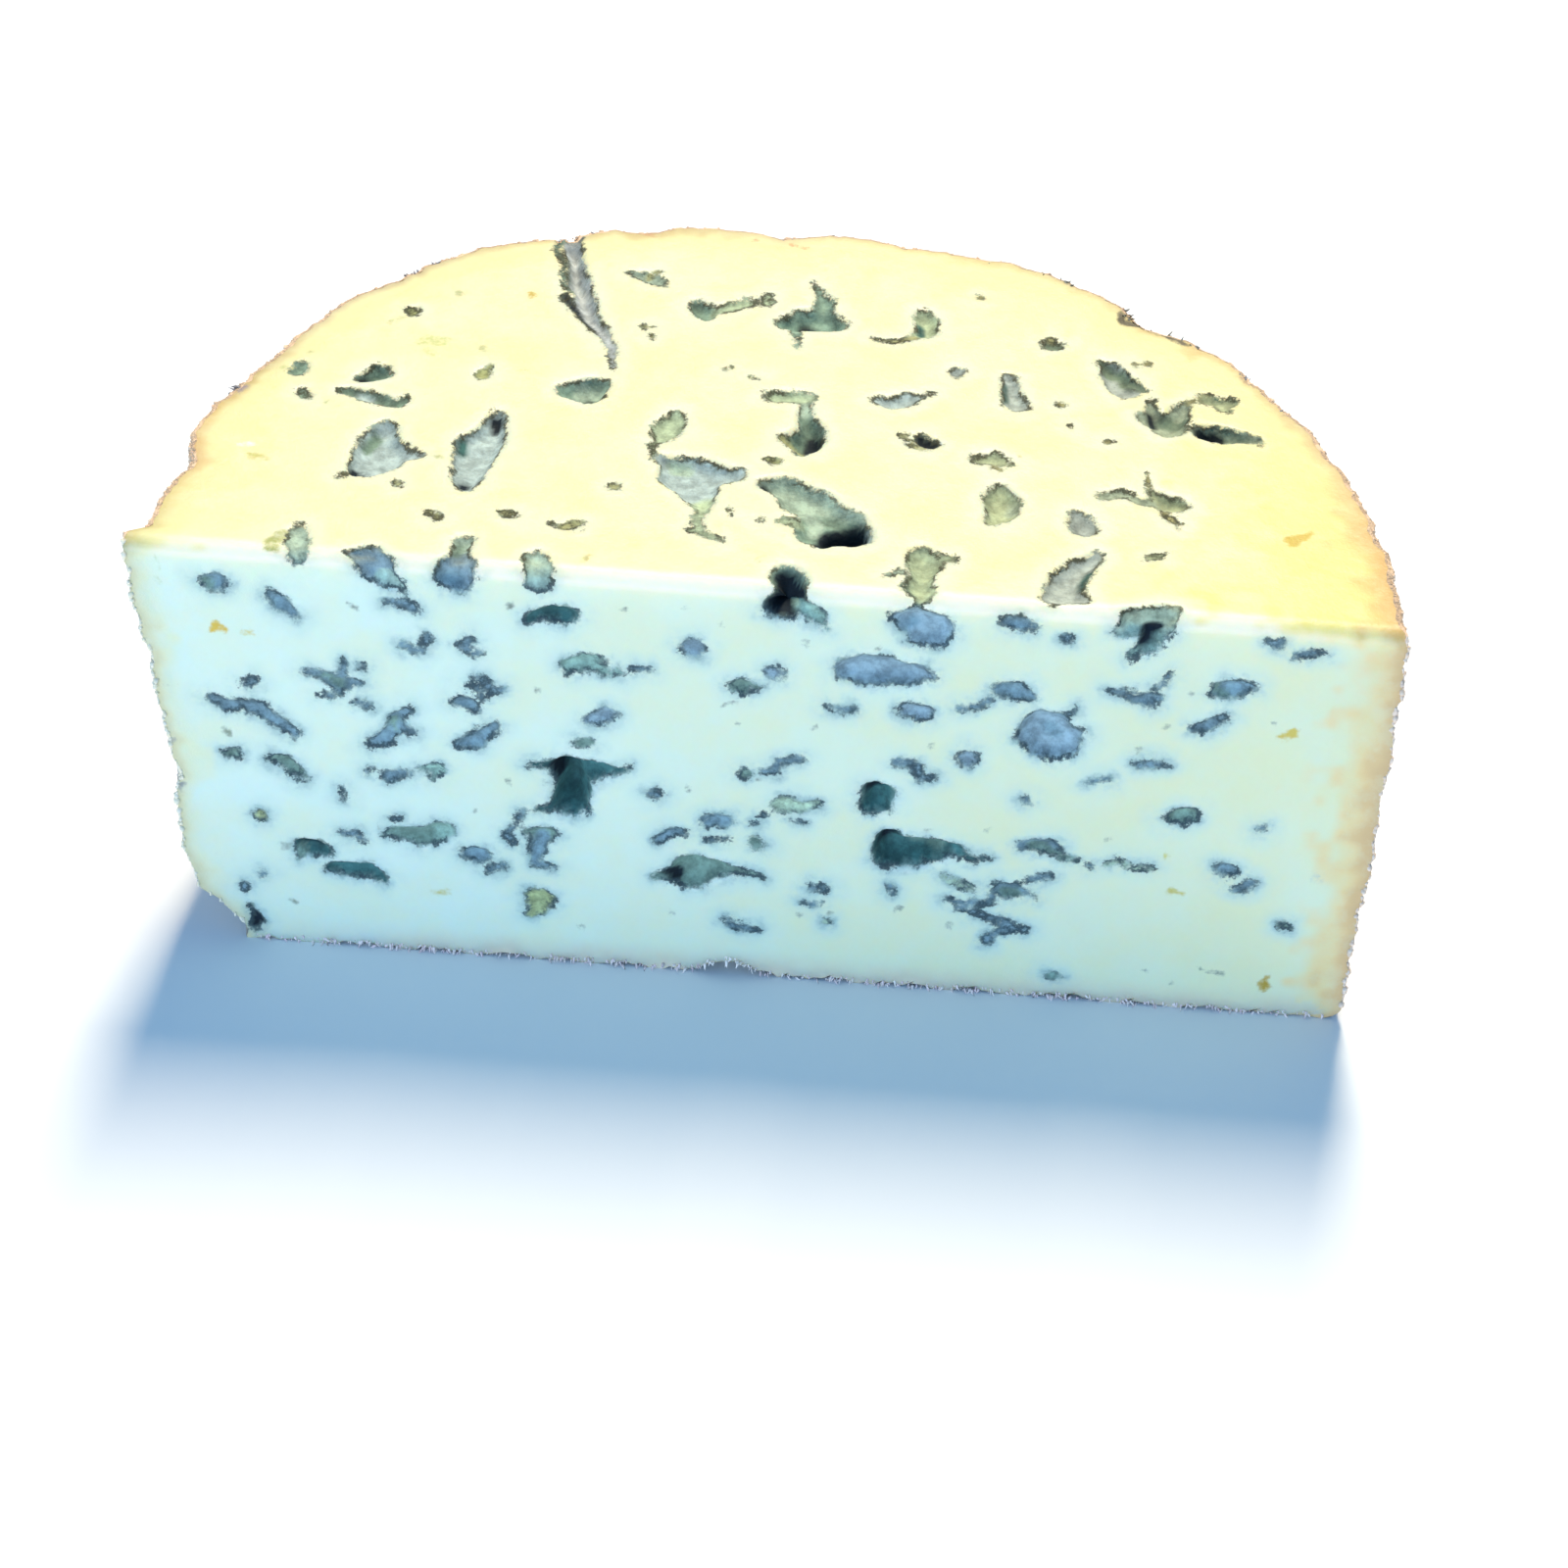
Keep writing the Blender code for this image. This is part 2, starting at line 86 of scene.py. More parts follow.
# Dents in the rind: angle in degrees, height, half width, half height and depth, which
# is below 0 for a swelling.
RIND_DENTS = (
    (-5.0, 27.0, 9.0, 60.0, -0.6),
    (-5.0, 25.0, 9.0, 9.0, -0.5),
    (170.5, 50.0, 2.6, 14.0, 1.2),
    (157.5, 51.0, 2.2, 7.0, 0.3),
    (144.0, 50.0, 5.0, 12.0, 0.6),
    (131.0, 52.0, 3.0, 6.0, 0.3),
    (114.4, 49.0, 1.9, 13.0, 0.4),
    (106.4, 52.0, 2.8, 8.0, 1.0),
    (91.9, 50.0, 3.4, 10.0, 1.3),
    (66.0, 50.0, 9.0, 14.0, -1.0),
    (52.0, 49.0, 3.4, 13.0, 1.9),
    (42.0, 51.0, 3.0, 8.0, -0.7),
    (23.0, 30.0, 6.0, 6.0, 0.8),
    (46.0, 17.0, 7.0, 5.0, 1.1),
    (80.0, 25.0, 9.0, 6.0, 1.2),
    (100.0, 12.0, 6.0, 5.0, 1.0),
    (121.0, 29.0, 8.0, 7.0, 1.3),
    (146.0, 18.0, 6.0, 6.0, 1.0),
    (166.0, 27.0, 5.0, 6.0, 0.9),
    (184.0, 38.5, 1.6, 1.6, 0.5),
    (184.0, 23.0, 1.8, 1.6, 0.7),
    (184.0, 6.8, 6.0, 1.5, -1.1),
    (184.0, 0.0, 6.0, 1.2, -0.6),
)


def bell(distance, half_width):
    """A smooth hump: e to the power of minus (distance / half_width) squared."""
    return np.exp(-((distance / half_width) ** 2))


def ease(value, low, high):
    """An S-curve from 0 at low to 1 at high: 3 t squared less 2 t cubed."""
    share = np.clip((value - low) / (high - low), 0.0, 1.0)
    return share * share * (3.0 - 2.0 * share)


def quarter_round(gap, radius):
    """Setback of a quarter-round edge, this far from its end: r less the root of r^2 - (r - gap)^2."""
    inside = np.clip(radius - gap, 0.0, radius)
    return radius - np.sqrt(radius**2 - inside**2)


def patchy(x, y, size, seed):
    """Random relief from -1 to 1: one random value per corner of a square net, eased between corners."""
    net_rows, net_columns = 89, 97
    values = np.random.default_rng(seed).uniform(-1.0, 1.0, (net_rows, net_columns))
    column, row = np.floor(x / size).astype(int), np.floor(y / size).astype(int)
    across, up = ease(x / size - column, 0.0, 1.0), ease(y / size - row, 0.0, 1.0)
    left, right = column % net_columns, (column + 1) % net_columns
    under, over = row % net_rows, (row + 1) % net_rows
    low = values[under, left] * (1 - across) + values[under, right] * across
    high = values[over, left] * (1 - across) + values[over, right] * across
    return low * (1 - up) + high * up


def relief(x, y, layers):
    """Sum of layers of patchy relief, each of its own height, size and seed."""
    return sum(height * patchy(x, y, size, seed) for height, size, seed in layers)


def rind_radius(angle, z):
    """Distance of the rind from the drum's axis, by angle in degrees and height.

    The drum's radius plus swelling, bumps, crust and the knife's lip, less the lean of
    the left side, the dents, and the rounding at the foot and the rim.
    """
    turn = np.radians(angle)
    radius = DRUM_RADIUS + SWELL * bell(angle - SWELL_ANGLE, SWELL_SPREAD)
    for height, count, upward, start in RIND_BUMPS:
        waver = 0.9 * np.sin(0.6 * count * turn + 2.0 * start)
        rise = np.cos(upward * math.pi * z / SLAB_HEIGHT + waver + start)
        radius = radius + height * np.sin(count * turn + start) * rise
    radius = radius + relief(turn * DRUM_RADIUS, z, CRUST_RELIEF)
    left = ease(angle, LEFT_FROM, LEFT_FULL)
    radius = radius - LEFT_LEAN * left * (1.0 - z / SLAB_HEIGHT)
    for at, level, half_width, half_height, depth in RIND_DENTS:
        along = np.radians(angle - at) * DRUM_RADIUS
        radius = radius - depth * bell(along, half_width) * bell(z - level, half_height)
    left_end = 180.0 + math.degrees(math.asin(AXIS_BEHIND_CUT / DRUM_RADIUS))
    behind_cut = np.radians(left_end - angle) * DRUM_RADIUS
    lip_share = np.clip((z - LIP_FOOT) / (SLAB_HEIGHT - LIP_FOOT), 0.0, 1.0)
    past_lip = ease(behind_cut, LIP_THICKNESS, LIP_THICKNESS + LIP_STEP)
    radius = radius + LIP_REACH * lip_share * (1.0 - past_lip)
    worn = FOOT_WORN_IN * (1.0 - ease(z, -1.0, FOOT_WORN_HIGH))
    radius = radius - left * worn - (1.0 - left) * quarter_round(z, FOOT_ROUND_RIGHT)
    return radius - quarter_round(SLAB_HEIGHT - z, TOP_RIM_ROUND)


def rind_xy(angle, z):
    """Point on the rind: the radius turned round the drum's axis."""
    radius = rind_radius(angle, z)
    x = radius * np.cos(np.radians(angle))
    y = AXIS_BEHIND_CUT + radius * np.sin(np.radians(angle))
    return x, y


def end_angle(z, side):
    """Where the rind meets the front cut, on the right for side 0 and on the left for 180.

    It is the arcsine of setback over radius, worked out four times over, because the
    radius changes with the angle.
    """
    setback = quarter_round(SLAB_HEIGHT - z, CUT_EDGE_ROUND)
    angle = np.full(np.shape(z), float(side))
    for _ in range(4):
        dip = np.degrees(np.arcsin((setback - AXIS_BEHIND_CUT) / rind_radius(angle, z)))
        angle = dip if side == 0 else 180.0 - dip
    return angle


def foot_lift(x):
    """Height of the front foot above the ground: a low arch at the notch, else nothing."""
    return FOOT_NOTCH_HIGH * bell(x - FOOT_NOTCH_AT, FOOT_NOTCH_HALF)


def foot_teeth(x):
    """Crumbly hem of the front foot: random teeth from 0 to 0.9 mm high, easing to none at either end."""
    teeth = np.maximum(TEETH_HEIGHT + relief(x, 0.0 * x, TEETH_RELIEF), 0.0)
    left, right = x.min(), x.max()
    return teeth * ease(x, left, left + TEETH_FADE) * (1.0 - ease(x, right - TEETH_FADE, right))


def linear(red, green, blue):
    """Linear colour of a screen colour from 0 to 255: the usual 2.4 power curve."""
    share = np.array((red, green, blue)) / 255.0
    return np.where(share > 0.04045, ((share + 0.055) / 1.055) ** 2.4, share / 12.92)


# Linings of the pockets, as screen colours.
LININGS = {
    "pale": linear(156, 174, 182),
    "grey": linear(158, 175, 152),
    "slate": linear(150, 170, 160),
    "blue": linear(102, 124, 134),
    "sky": linear(122, 140, 150),
    "moss": linear(158, 160, 120),
    "teal": linear(124, 150, 140),
    "dusk": linear(104, 126, 116),
    "deep": linear(54, 92, 92),
    # Near-black: partly dark mould and partly painted shade, laid where deep holes are black with shadow.
    "ink": linear(8, 22, 32),
    "olive": linear(154, 160, 116),
    "lilac": linear(160, 168, 178),
    "ash": linear(122, 128, 132),
}

# Pockets of the top cut: lining, depth, then the places (x, y, half width) that a
# stroke runs through. A y below 0 runs on over the edge and down the front.
TOP_POCKETS = (
    ("pale", 1.1, (-42.4, 24.0, 0.8), (-43.0, 21.5, 1.8), (-42.6, 18.8, 2.8), (-43.6, 16.2, 2.1)),
    ("pale", 0.9, (-41.0, 19.6, 1.4), (-38.3, 18.9, 0.3)),
    ("ink", 1.7, (-44.8, 15.2, 0.8), (-43.6, 14.9, 0.4)),
    ("dusk", 1.3, (-43.5, 22.6, 0.4), (-44.5, 20.0, 0.3)),
    ("pale", 1.1, (-31.0, 27.3, 0.7), (-31.4, 24.6, 1.4), (-32.5, 21.3, 2.4), (-32.7, 18.5, 1.8)),
    ("pale", 1.0, (-32.7, 18.5, 1.8), (-33.2, 15.4, 1.5), (-33.0, 14.0, 0.8)),
    ("ink", 1.7, (-31.0, 26.8, 0.6), (-31.2, 25.4, 0.4)),
    ("deep", 1.5, (-34.3, 22.6, 0.3), (-34.4, 20.6, 0.3)),
    ("grey", 0.5, (-12.2, 30.0, 0.6), (-12.6, 27.3, 1.6), (-13.4, 25.8, 0.9)),
    ("grey", 0.3, (-13.6, 25.2, 0.4), (-14.0, 24.0, 0.3), (-13.7, 22.0, 0.2)),
    ("pale", 1.2, (-12.7, 21.6, 0.8), (-9.8, 19.3, 3.2), (-5.2, 19.4, 0.9)),
    ("pale", 1.1, (-9.2, 18.0, 2.6), (-8.2, 14.5, 1.0)),
    ("grey", 0.6, (-8.2, 14.5, 1.0), (-8.4, 11.5, 0.35), (-8.0, 9.0, 0.35), (-6.0, 7.7, 0.2)),
    ("grey", 0.3, (-8.4, 9.6, 0.2), (-9.3, 8.9, 0.15)),
    ("slate", 1.4, (-12.0, 21.6, 0.5), (-10.2, 21.4, 0.7)),
    ("slate", 1.3, (-1.6, 18.7, 0.8), (0.9, 17.6, 1.7), (3.4, 14.9, 2.5), (6.4, 12.4, 2.2), (9.0, 10.4, 0.9)),
    ("teal", 1.5, (3.6, 12.8, 1.8), (3.2, 10.0, 1.0)),
    ("dusk", 1.7, (5.4, 13.8, 0.7), (6.8, 12.8, 1.0)),
    ("slate", 1.4, (1.2, 16.4, 0.8), (3.4, 13.4, 0.9), (3.4, 11.6, 0.5)),
    ("pale", 0.9, (8.9, 11.2, 0.6), (9.2, 9.9, 0.5)),
    ("ink", 5.8, (4.4, 8.8, 0.8), (5.7, 10.4, 1.9), (7.0, 10.8, 2.1)),
    ("grey", 0.6, (0.2, 12.0, 0.35), (1.6, 11.6, 0.5)),
    ("grey", 1.0, (15.0, 8.2, 0.9), (15.2, 6.0, 1.7), (14.9, 3.6, 1.2), (15.2, 1.2, 1.1), (14.8, -0.8, 0.4)),
    ("grey", 0.7, (16.2, 7.2, 0.5), (18.0, 7.5, 0.3)),
    ("dusk", 1.2, (13.6, 2.4, 0.3), (14.0, 0.8, 0.25)),
    ("slate", 0.5, (12.8, 4.4, 0.3), (11.8, 3.9, 0.2)),
    ("pale", 1.0, (33.2, 10.1, 0.5), (31.2, 7.6, 1.3), (30.0, 5.2, 1.6), (29.4, 3.2, 1.7), (28.0, 1.9, 0.7)),
    ("pale", 0.8, (30.4, 3.0, 1.2), (31.8, 2.5, 0.5)),
    ("deep", 1.0, (32.2, 7.2, 0.25), (31.6, 4.4, 0.25)),
    ("grey", 1.0, (22.8, 20.8, 0.6), (23.0, 18.6, 1.7), (23.0, 16.4, 1.6), (21.9, 14.6, 0.5)),
    ("slate", 1.1, (24.0, 18.4, 0.6), (24.2, 17.0, 0.5)),
    ("grey", 0.6, (19.9, 26.0, 0.4), (21.8, 26.4, 0.8), (24.0, 25.4, 0.3)),
    ("moss", 0.4, (22.5, 24.9, 0.2), (22.6, 24.2, 0.2)),
    ("pale", 0.7, (31.2, 16.8, 0.8), (31.6, 15.0, 1.3)),
    ("grey", 1.0, (39.0, 22.4, 0.4), (40.0, 20.4, 1.2), (41.6, 20.2, 1.2)),
    ("slate", 0.7, (38.6, 20.4, 0.7), (36.4, 21.3, 0.5), (33.8, 20.9, 0.5)),
    ("moss", 0.4, (38.6, 23.0, 0.2), (38.2, 25.4, 0.15)),
    ("moss", 0.4, (40.2, 18.4, 0.3), (41.0, 17.0, 0.2), (41.6, 16.3, 0.15)),
    ("slate", 1.4, (37.3, -0.6, 1.6), (40.1, 0.4, 1.5), (39.8, -1.2, 1.6)),
    ("slate", 0.9, (37.3, -1.6, 0.9), (35.9, -2.2, 0.6)),
    ("teal", 1.0, (39.2, -2.6, 1.0), (38.4, -4.2, 0.5), (37.0, -5.2, 0.35)),
    ("ink", 4.6, (39.1, -1.3, 1.0), (38.7, -2.8, 0.6), (38.2, -4.0, 0.25)),
    ("teal", 0.9, (1.5, 3.0, 1.4), (1.8, 1.6, 1.6)),
    ("ink", 4.6, (1.5, 3.0, 1.0), (1.8, 1.0, 1.4), (1.7, -0.8, 1.8), (1.2, -1.9, 1.7)),
    ("ink", 3.6, (1.2, -1.9, 1.7), (-0.2, -2.5, 0.6)),
    ("teal", 0.8, (3.2, -2.0, 0.8), (4.6, -3.2, 0.9), (5.7, -4.4, 0.3)),
    ("slate", 0.8, (-24.6, 2.2, 1.0), (-24.0, 0.2, 1.5), (-23.9, -1.0, 1.3)),
    ("slate", 0.7, (-32.0, 4.4, 0.9), (-32.2, 2.4, 0.9)),
    ("sky", 1.0, (-32.0, 1.0, 1.4), (-32.2, -1.2, 2.0)),
    ("blue", 1.3, (-33.2, -1.6, 1.0), (-32.2, -1.8, 1.0)),
    ("dusk", 1.0, (-32.4, 3.6, 0.4), (-32.6, 2.4, 0.3)),
    ("sky", 1.0, (-43.4, 0.9, 0.3), (-41.4, 1.2, 1.2), (-40.6, -0.6, 1.8), (-39.8, -1.8, 1.2)),
    ("slate", 0.7, (-39.8, -1.8, 0.9), (-38.2, -3.2, 0.6), (-37.4, -4.0, 0.2)),
    ("slate", 0.5, (-49.0, 4.4, 0.8), (-49.0, 2.0, 0.9), (-48.8, -0.2, 0.9)),
    ("teal", 1.4, (-46.0, 32.9, 0.9), (-44.8, 33.8, 1.3), (-44.0, 34.6, 0.5)),
    ("ink", 1.8, (-46.0, 32.7, 0.6), (-44.8, 32.6, 0.3)),
    ("dusk", 1.1, (-47.6, 29.7, 0.6), (-45.8, 29.1, 0.9), (-43.4, 28.3, 0.5), (-41.8, 28.3, 0.7)),
    ("dusk", 0.9, (-41.8, 28.3, 0.7), (-41.4, 29.6, 0.3)),
    ("pale", 0.8, (-46.2, 29.3, 0.4), (-45.4, 29.0, 0.3)),
    ("teal", 0.7, (-53.2, 34.4, 0.5), (-53.4, 32.9, 0.7)),
    ("dusk", 1.0, (-52.8, 29.4, 0.4), (-51.8, 28.4, 0.4)),
    ("olive", 0.6, (-42.6, 46.4, 0.5), (-42.5, 45.8, 0.5)),
    ("olive", 0.6, (-33.0, 35.5, 0.4), (-33.5, 34.7, 0.7)),
    ("olive", 0.3, (-33.0, 35.6, 0.25), (-32.6, 36.5, 0.2)),
    ("teal", 1.4, (-24.4, 33.2, 0.9), (-22.4, 33.4, 1.9), (-21.2, 34.2, 1.4), (-21.6, 32.0, 1.1)),
    ("slate", 1.3, (-22.4, 34.4, 0.8), (-21.0, 33.6, 0.8)),
    ("ink", 3.6, (-22.8, 32.4, 0.7), (-21.2, 32.2, 0.8)),
    ("ash", 0.5, (-26.6, 67.0, 1.2), (-26.2, 62.0, 0.9)),
    ("lilac", 2.4, (-26.4, 62.0, 0.6), (-25.6, 58.5, 0.8), (-24.7, 54.5, 1.1)),
    ("lilac", 1.4, (-24.7, 54.5, 1.1), (-24.0, 50.5, 1.1), (-22.8, 47.5, 0.7), (-21.2, 44.0, 0.5)),
    ("lilac", 0.5, (-21.2, 44.0, 0.5), (-20.4, 41.0, 0.4), (-19.4, 37.8, 0.15)),
    ("dusk", 0.9, (-28.0, 65.6, 0.4), (-27.9, 61.0, 0.3), (-27.0, 57.0, 0.25), (-26.2, 53.0, 0.3)),
    ("ink", 1.8, (-26.4, 51.6, 0.35), (-25.2, 49.4, 0.4), (-23.8, 47.4, 0.3), (-22.6, 45.2, 0.2)),
    ("slate", 0.7, (-19.4, 57.0, 0.5), (-17.6, 56.6, 0.7), (-15.6, 56.0, 0.5)),
    ("moss", 0.4, (-17.0, 56.9, 0.3), (-16.3, 57.8, 0.15)),
    ("teal", 1.1, (-11.6, 51.9, 0.9), (-10.5, 50.9, 1.4), (-10.3, 49.7, 0.7)),
    ("dusk", 1.4, (-11.8, 51.9, 0.5), (-10.9, 50.2, 0.6)),
    ("grey", 0.4, (-9.0, 51.3, 0.7), (-7.2, 52.3, 0.8), (-5.6, 53.2, 0.5)),
    ("grey", 0.2, (-4.0, 54.5, 0.4), (-3.8, 53.2, 0.4)),
    ("teal", 1.7, (-1.8, 49.6, 0.9), (0.6, 50.2, 1.8), (2.6, 50.6, 2.0), (4.2, 49.8, 0.9)),
    ("teal", 0.9, (2.3, 52.0, 1.0), (2.8, 55.0, 0.6), (2.4, 56.6, 0.3), (1.4, 58.2, 0.15)),
    ("ink", 3.2, (0.6, 50.4, 0.8), (2.0, 49.7, 0.9), (3.2, 49.3, 0.5)),
    ("teal", 0.5, (0.0, 48.4, 0.6), (0.0, 46.2, 0.2), (0.1, 45.3, 0.2)),
    ("grey", 0.9, (13.8, 53.6, 0.5), (14.3, 51.6, 1.1), (14.3, 49.8, 1.4), (13.0, 48.9, 0.5)),
    ("deep", 1.2, (13.5, 51.0, 0.4), (13.9, 49.8, 0.4)),
    ("moss", 0.4, (12.9, 48.4, 0.3), (11.3, 47.5, 0.25), (9.5, 47.4, 0.25), (8.4, 47.7, 0.15)),
    ("dusk", 0.7, (27.7, 48.9, 0.7), (29.2, 48.9, 0.3)),
    ("pale", 1.1, (34.9, 45.2, 0.8), (35.4, 43.0, 1.5), (36.0, 41.2, 1.5), (37.2, 40.7, 0.6)),
    ("dusk", 1.3, (33.8, 45.8, 0.3), (35.6, 44.4, 0.4), (37.4, 42.6, 0.4), (38.2, 41.0, 0.3)),
    ("slate", 1.2, (38.9, 38.8, 0.4), (39.4, 36.0, 1.3), (41.0, 34.9, 1.9), (42.0, 37.0, 1.1)),
    ("slate", 0.9, (42.0, 37.0, 1.1), (42.8, 39.2, 0.6)),
    ("slate", 0.8, (38.0, 36.4, 0.6), (39.0, 35.4, 0.9)),
    ("ink", 1.5, (38.8, 37.4, 0.3), (39.4, 35.9, 0.3)),
    ("dusk", 1.5, (40.2, 36.6, 0.5), (42.6, 36.0, 0.5)),
    ("moss", 0.4, (43.1, 39.9, 0.25), (44.3, 40.6, 0.25), (45.2, 40.9, 0.25)),
    ("grey", 0.7, (45.0, 40.2, 0.6), (46.6, 39.7, 0.8), (47.8, 40.3, 0.6)),
    ("grey", 0.6, (46.6, 39.7, 0.8), (46.9, 38.5, 0.5)),
    ("slate", 1.4, (44.7, 34.2, 1.2), (46.4, 33.8, 1.5), (48.6, 33.5, 0.8), (50.6, 32.9, 0.25)),
    ("ink", 2.4, (44.8, 34.4, 0.8), (46.2, 34.3, 0.5)),
    ("pale", 0.8, (23.6, 41.9, 0.5), (24.0, 39.0, 1.1), (24.3, 37.0, 1.4), (25.6, 36.5, 0.5)),
    ("deep", 1.0, (22.9, 37.4, 0.25), (23.2, 40.6, 0.2)),
    ("pale", 0.5, (17.6, 41.8, 0.8), (18.2, 42.2, 0.7)),
    ("pale", 0.8, (9.2, 35.8, 0.5), (11.0, 35.7, 1.0), (12.8, 36.2, 0.9), (13.8, 36.9, 0.3)),
    ("ink", 1.8, (14.6, 28.9, 0.7), (15.6, 28.0, 0.6)),
    ("moss", 0.4, (13.0, 28.4, 0.2), (14.0, 27.2, 0.2), (15.0, 26.9, 0.2)),
    ("grey", 0.7, (-2.3, 34.8, 0.6), (0.0, 34.8, 0.9), (1.6, 34.8, 0.9)),
    ("slate", 1.0, (1.8, 33.4, 0.6), (2.0, 31.0, 0.8)),
    ("dusk", 1.8, (2.0, 31.0, 0.8), (2.4, 28.8, 1.4), (2.0, 26.8, 1.9), (1.3, 24.8, 0.6)),
    ("moss", 1.8, (-0.4, 27.2, 0.5), (1.0, 26.2, 0.8)),
    ("ink", 3.2, (2.6, 28.6, 0.5), (3.2, 27.2, 0.9)),
    ("olive", 0.4, (-1.5, 22.8, 0.4), (-0.8, 22.7, 0.4)),
    ("moss", 0.4, (-36.2, 8.8, 0.4), (-35.4, 7.7, 0.35)),
    ("moss", 0.4, (-28.6, 9.9, 0.3), (-27.9, 9.5, 0.35), (-27.2, 9.0, 0.25)),
    ("moss", 0.4, (-22.2, 8.0, 0.35), (-21.0, 8.5, 0.6)),
    ("grey", 0.3, (38.4, 10.2, 0.35), (40.0, 10.5, 0.4)),
    ("moss", 0.2, (-16.8, 46.2, 0.3), (-16.2, 46.4, 0.2)),
)

# Round pits of the top cut, one at each place.
TOP_PITS = (
    (
        "moss", 0.4,
        (-46.2, 14.4, 0.4), (-40.3, 13.5, 0.35), (28.0, 49.9, 0.25), (39.1, 46.2, 0.35),
        (12.3, 29.0, 0.3),
    ),
    ("ink", 1.5, (-33.4, 14.6, 0.6), (-1.7, 18.3, 0.5)),
    ("moss", 0.3, (37.7, 46.2, 0.25), (14.9, 37.8, 0.25), (-17.3, 15.8, 0.45)),
    (
        "moss", 0.2,
        (-23.4, 8.5, 0.2), (-5.2, 12.9, 0.25), (-1.9, 11.8, 0.2), (34.5, 30.7, 0.3), (-7.0, 39.4, 0.25),
        (-4.2, 38.0, 0.25), (-16.0, 44.8, 0.25), (20.0, 57.5, 0.3), (29.4, 37.4, 0.35),
        (30.4, 33.1, 0.25),
    ),
)

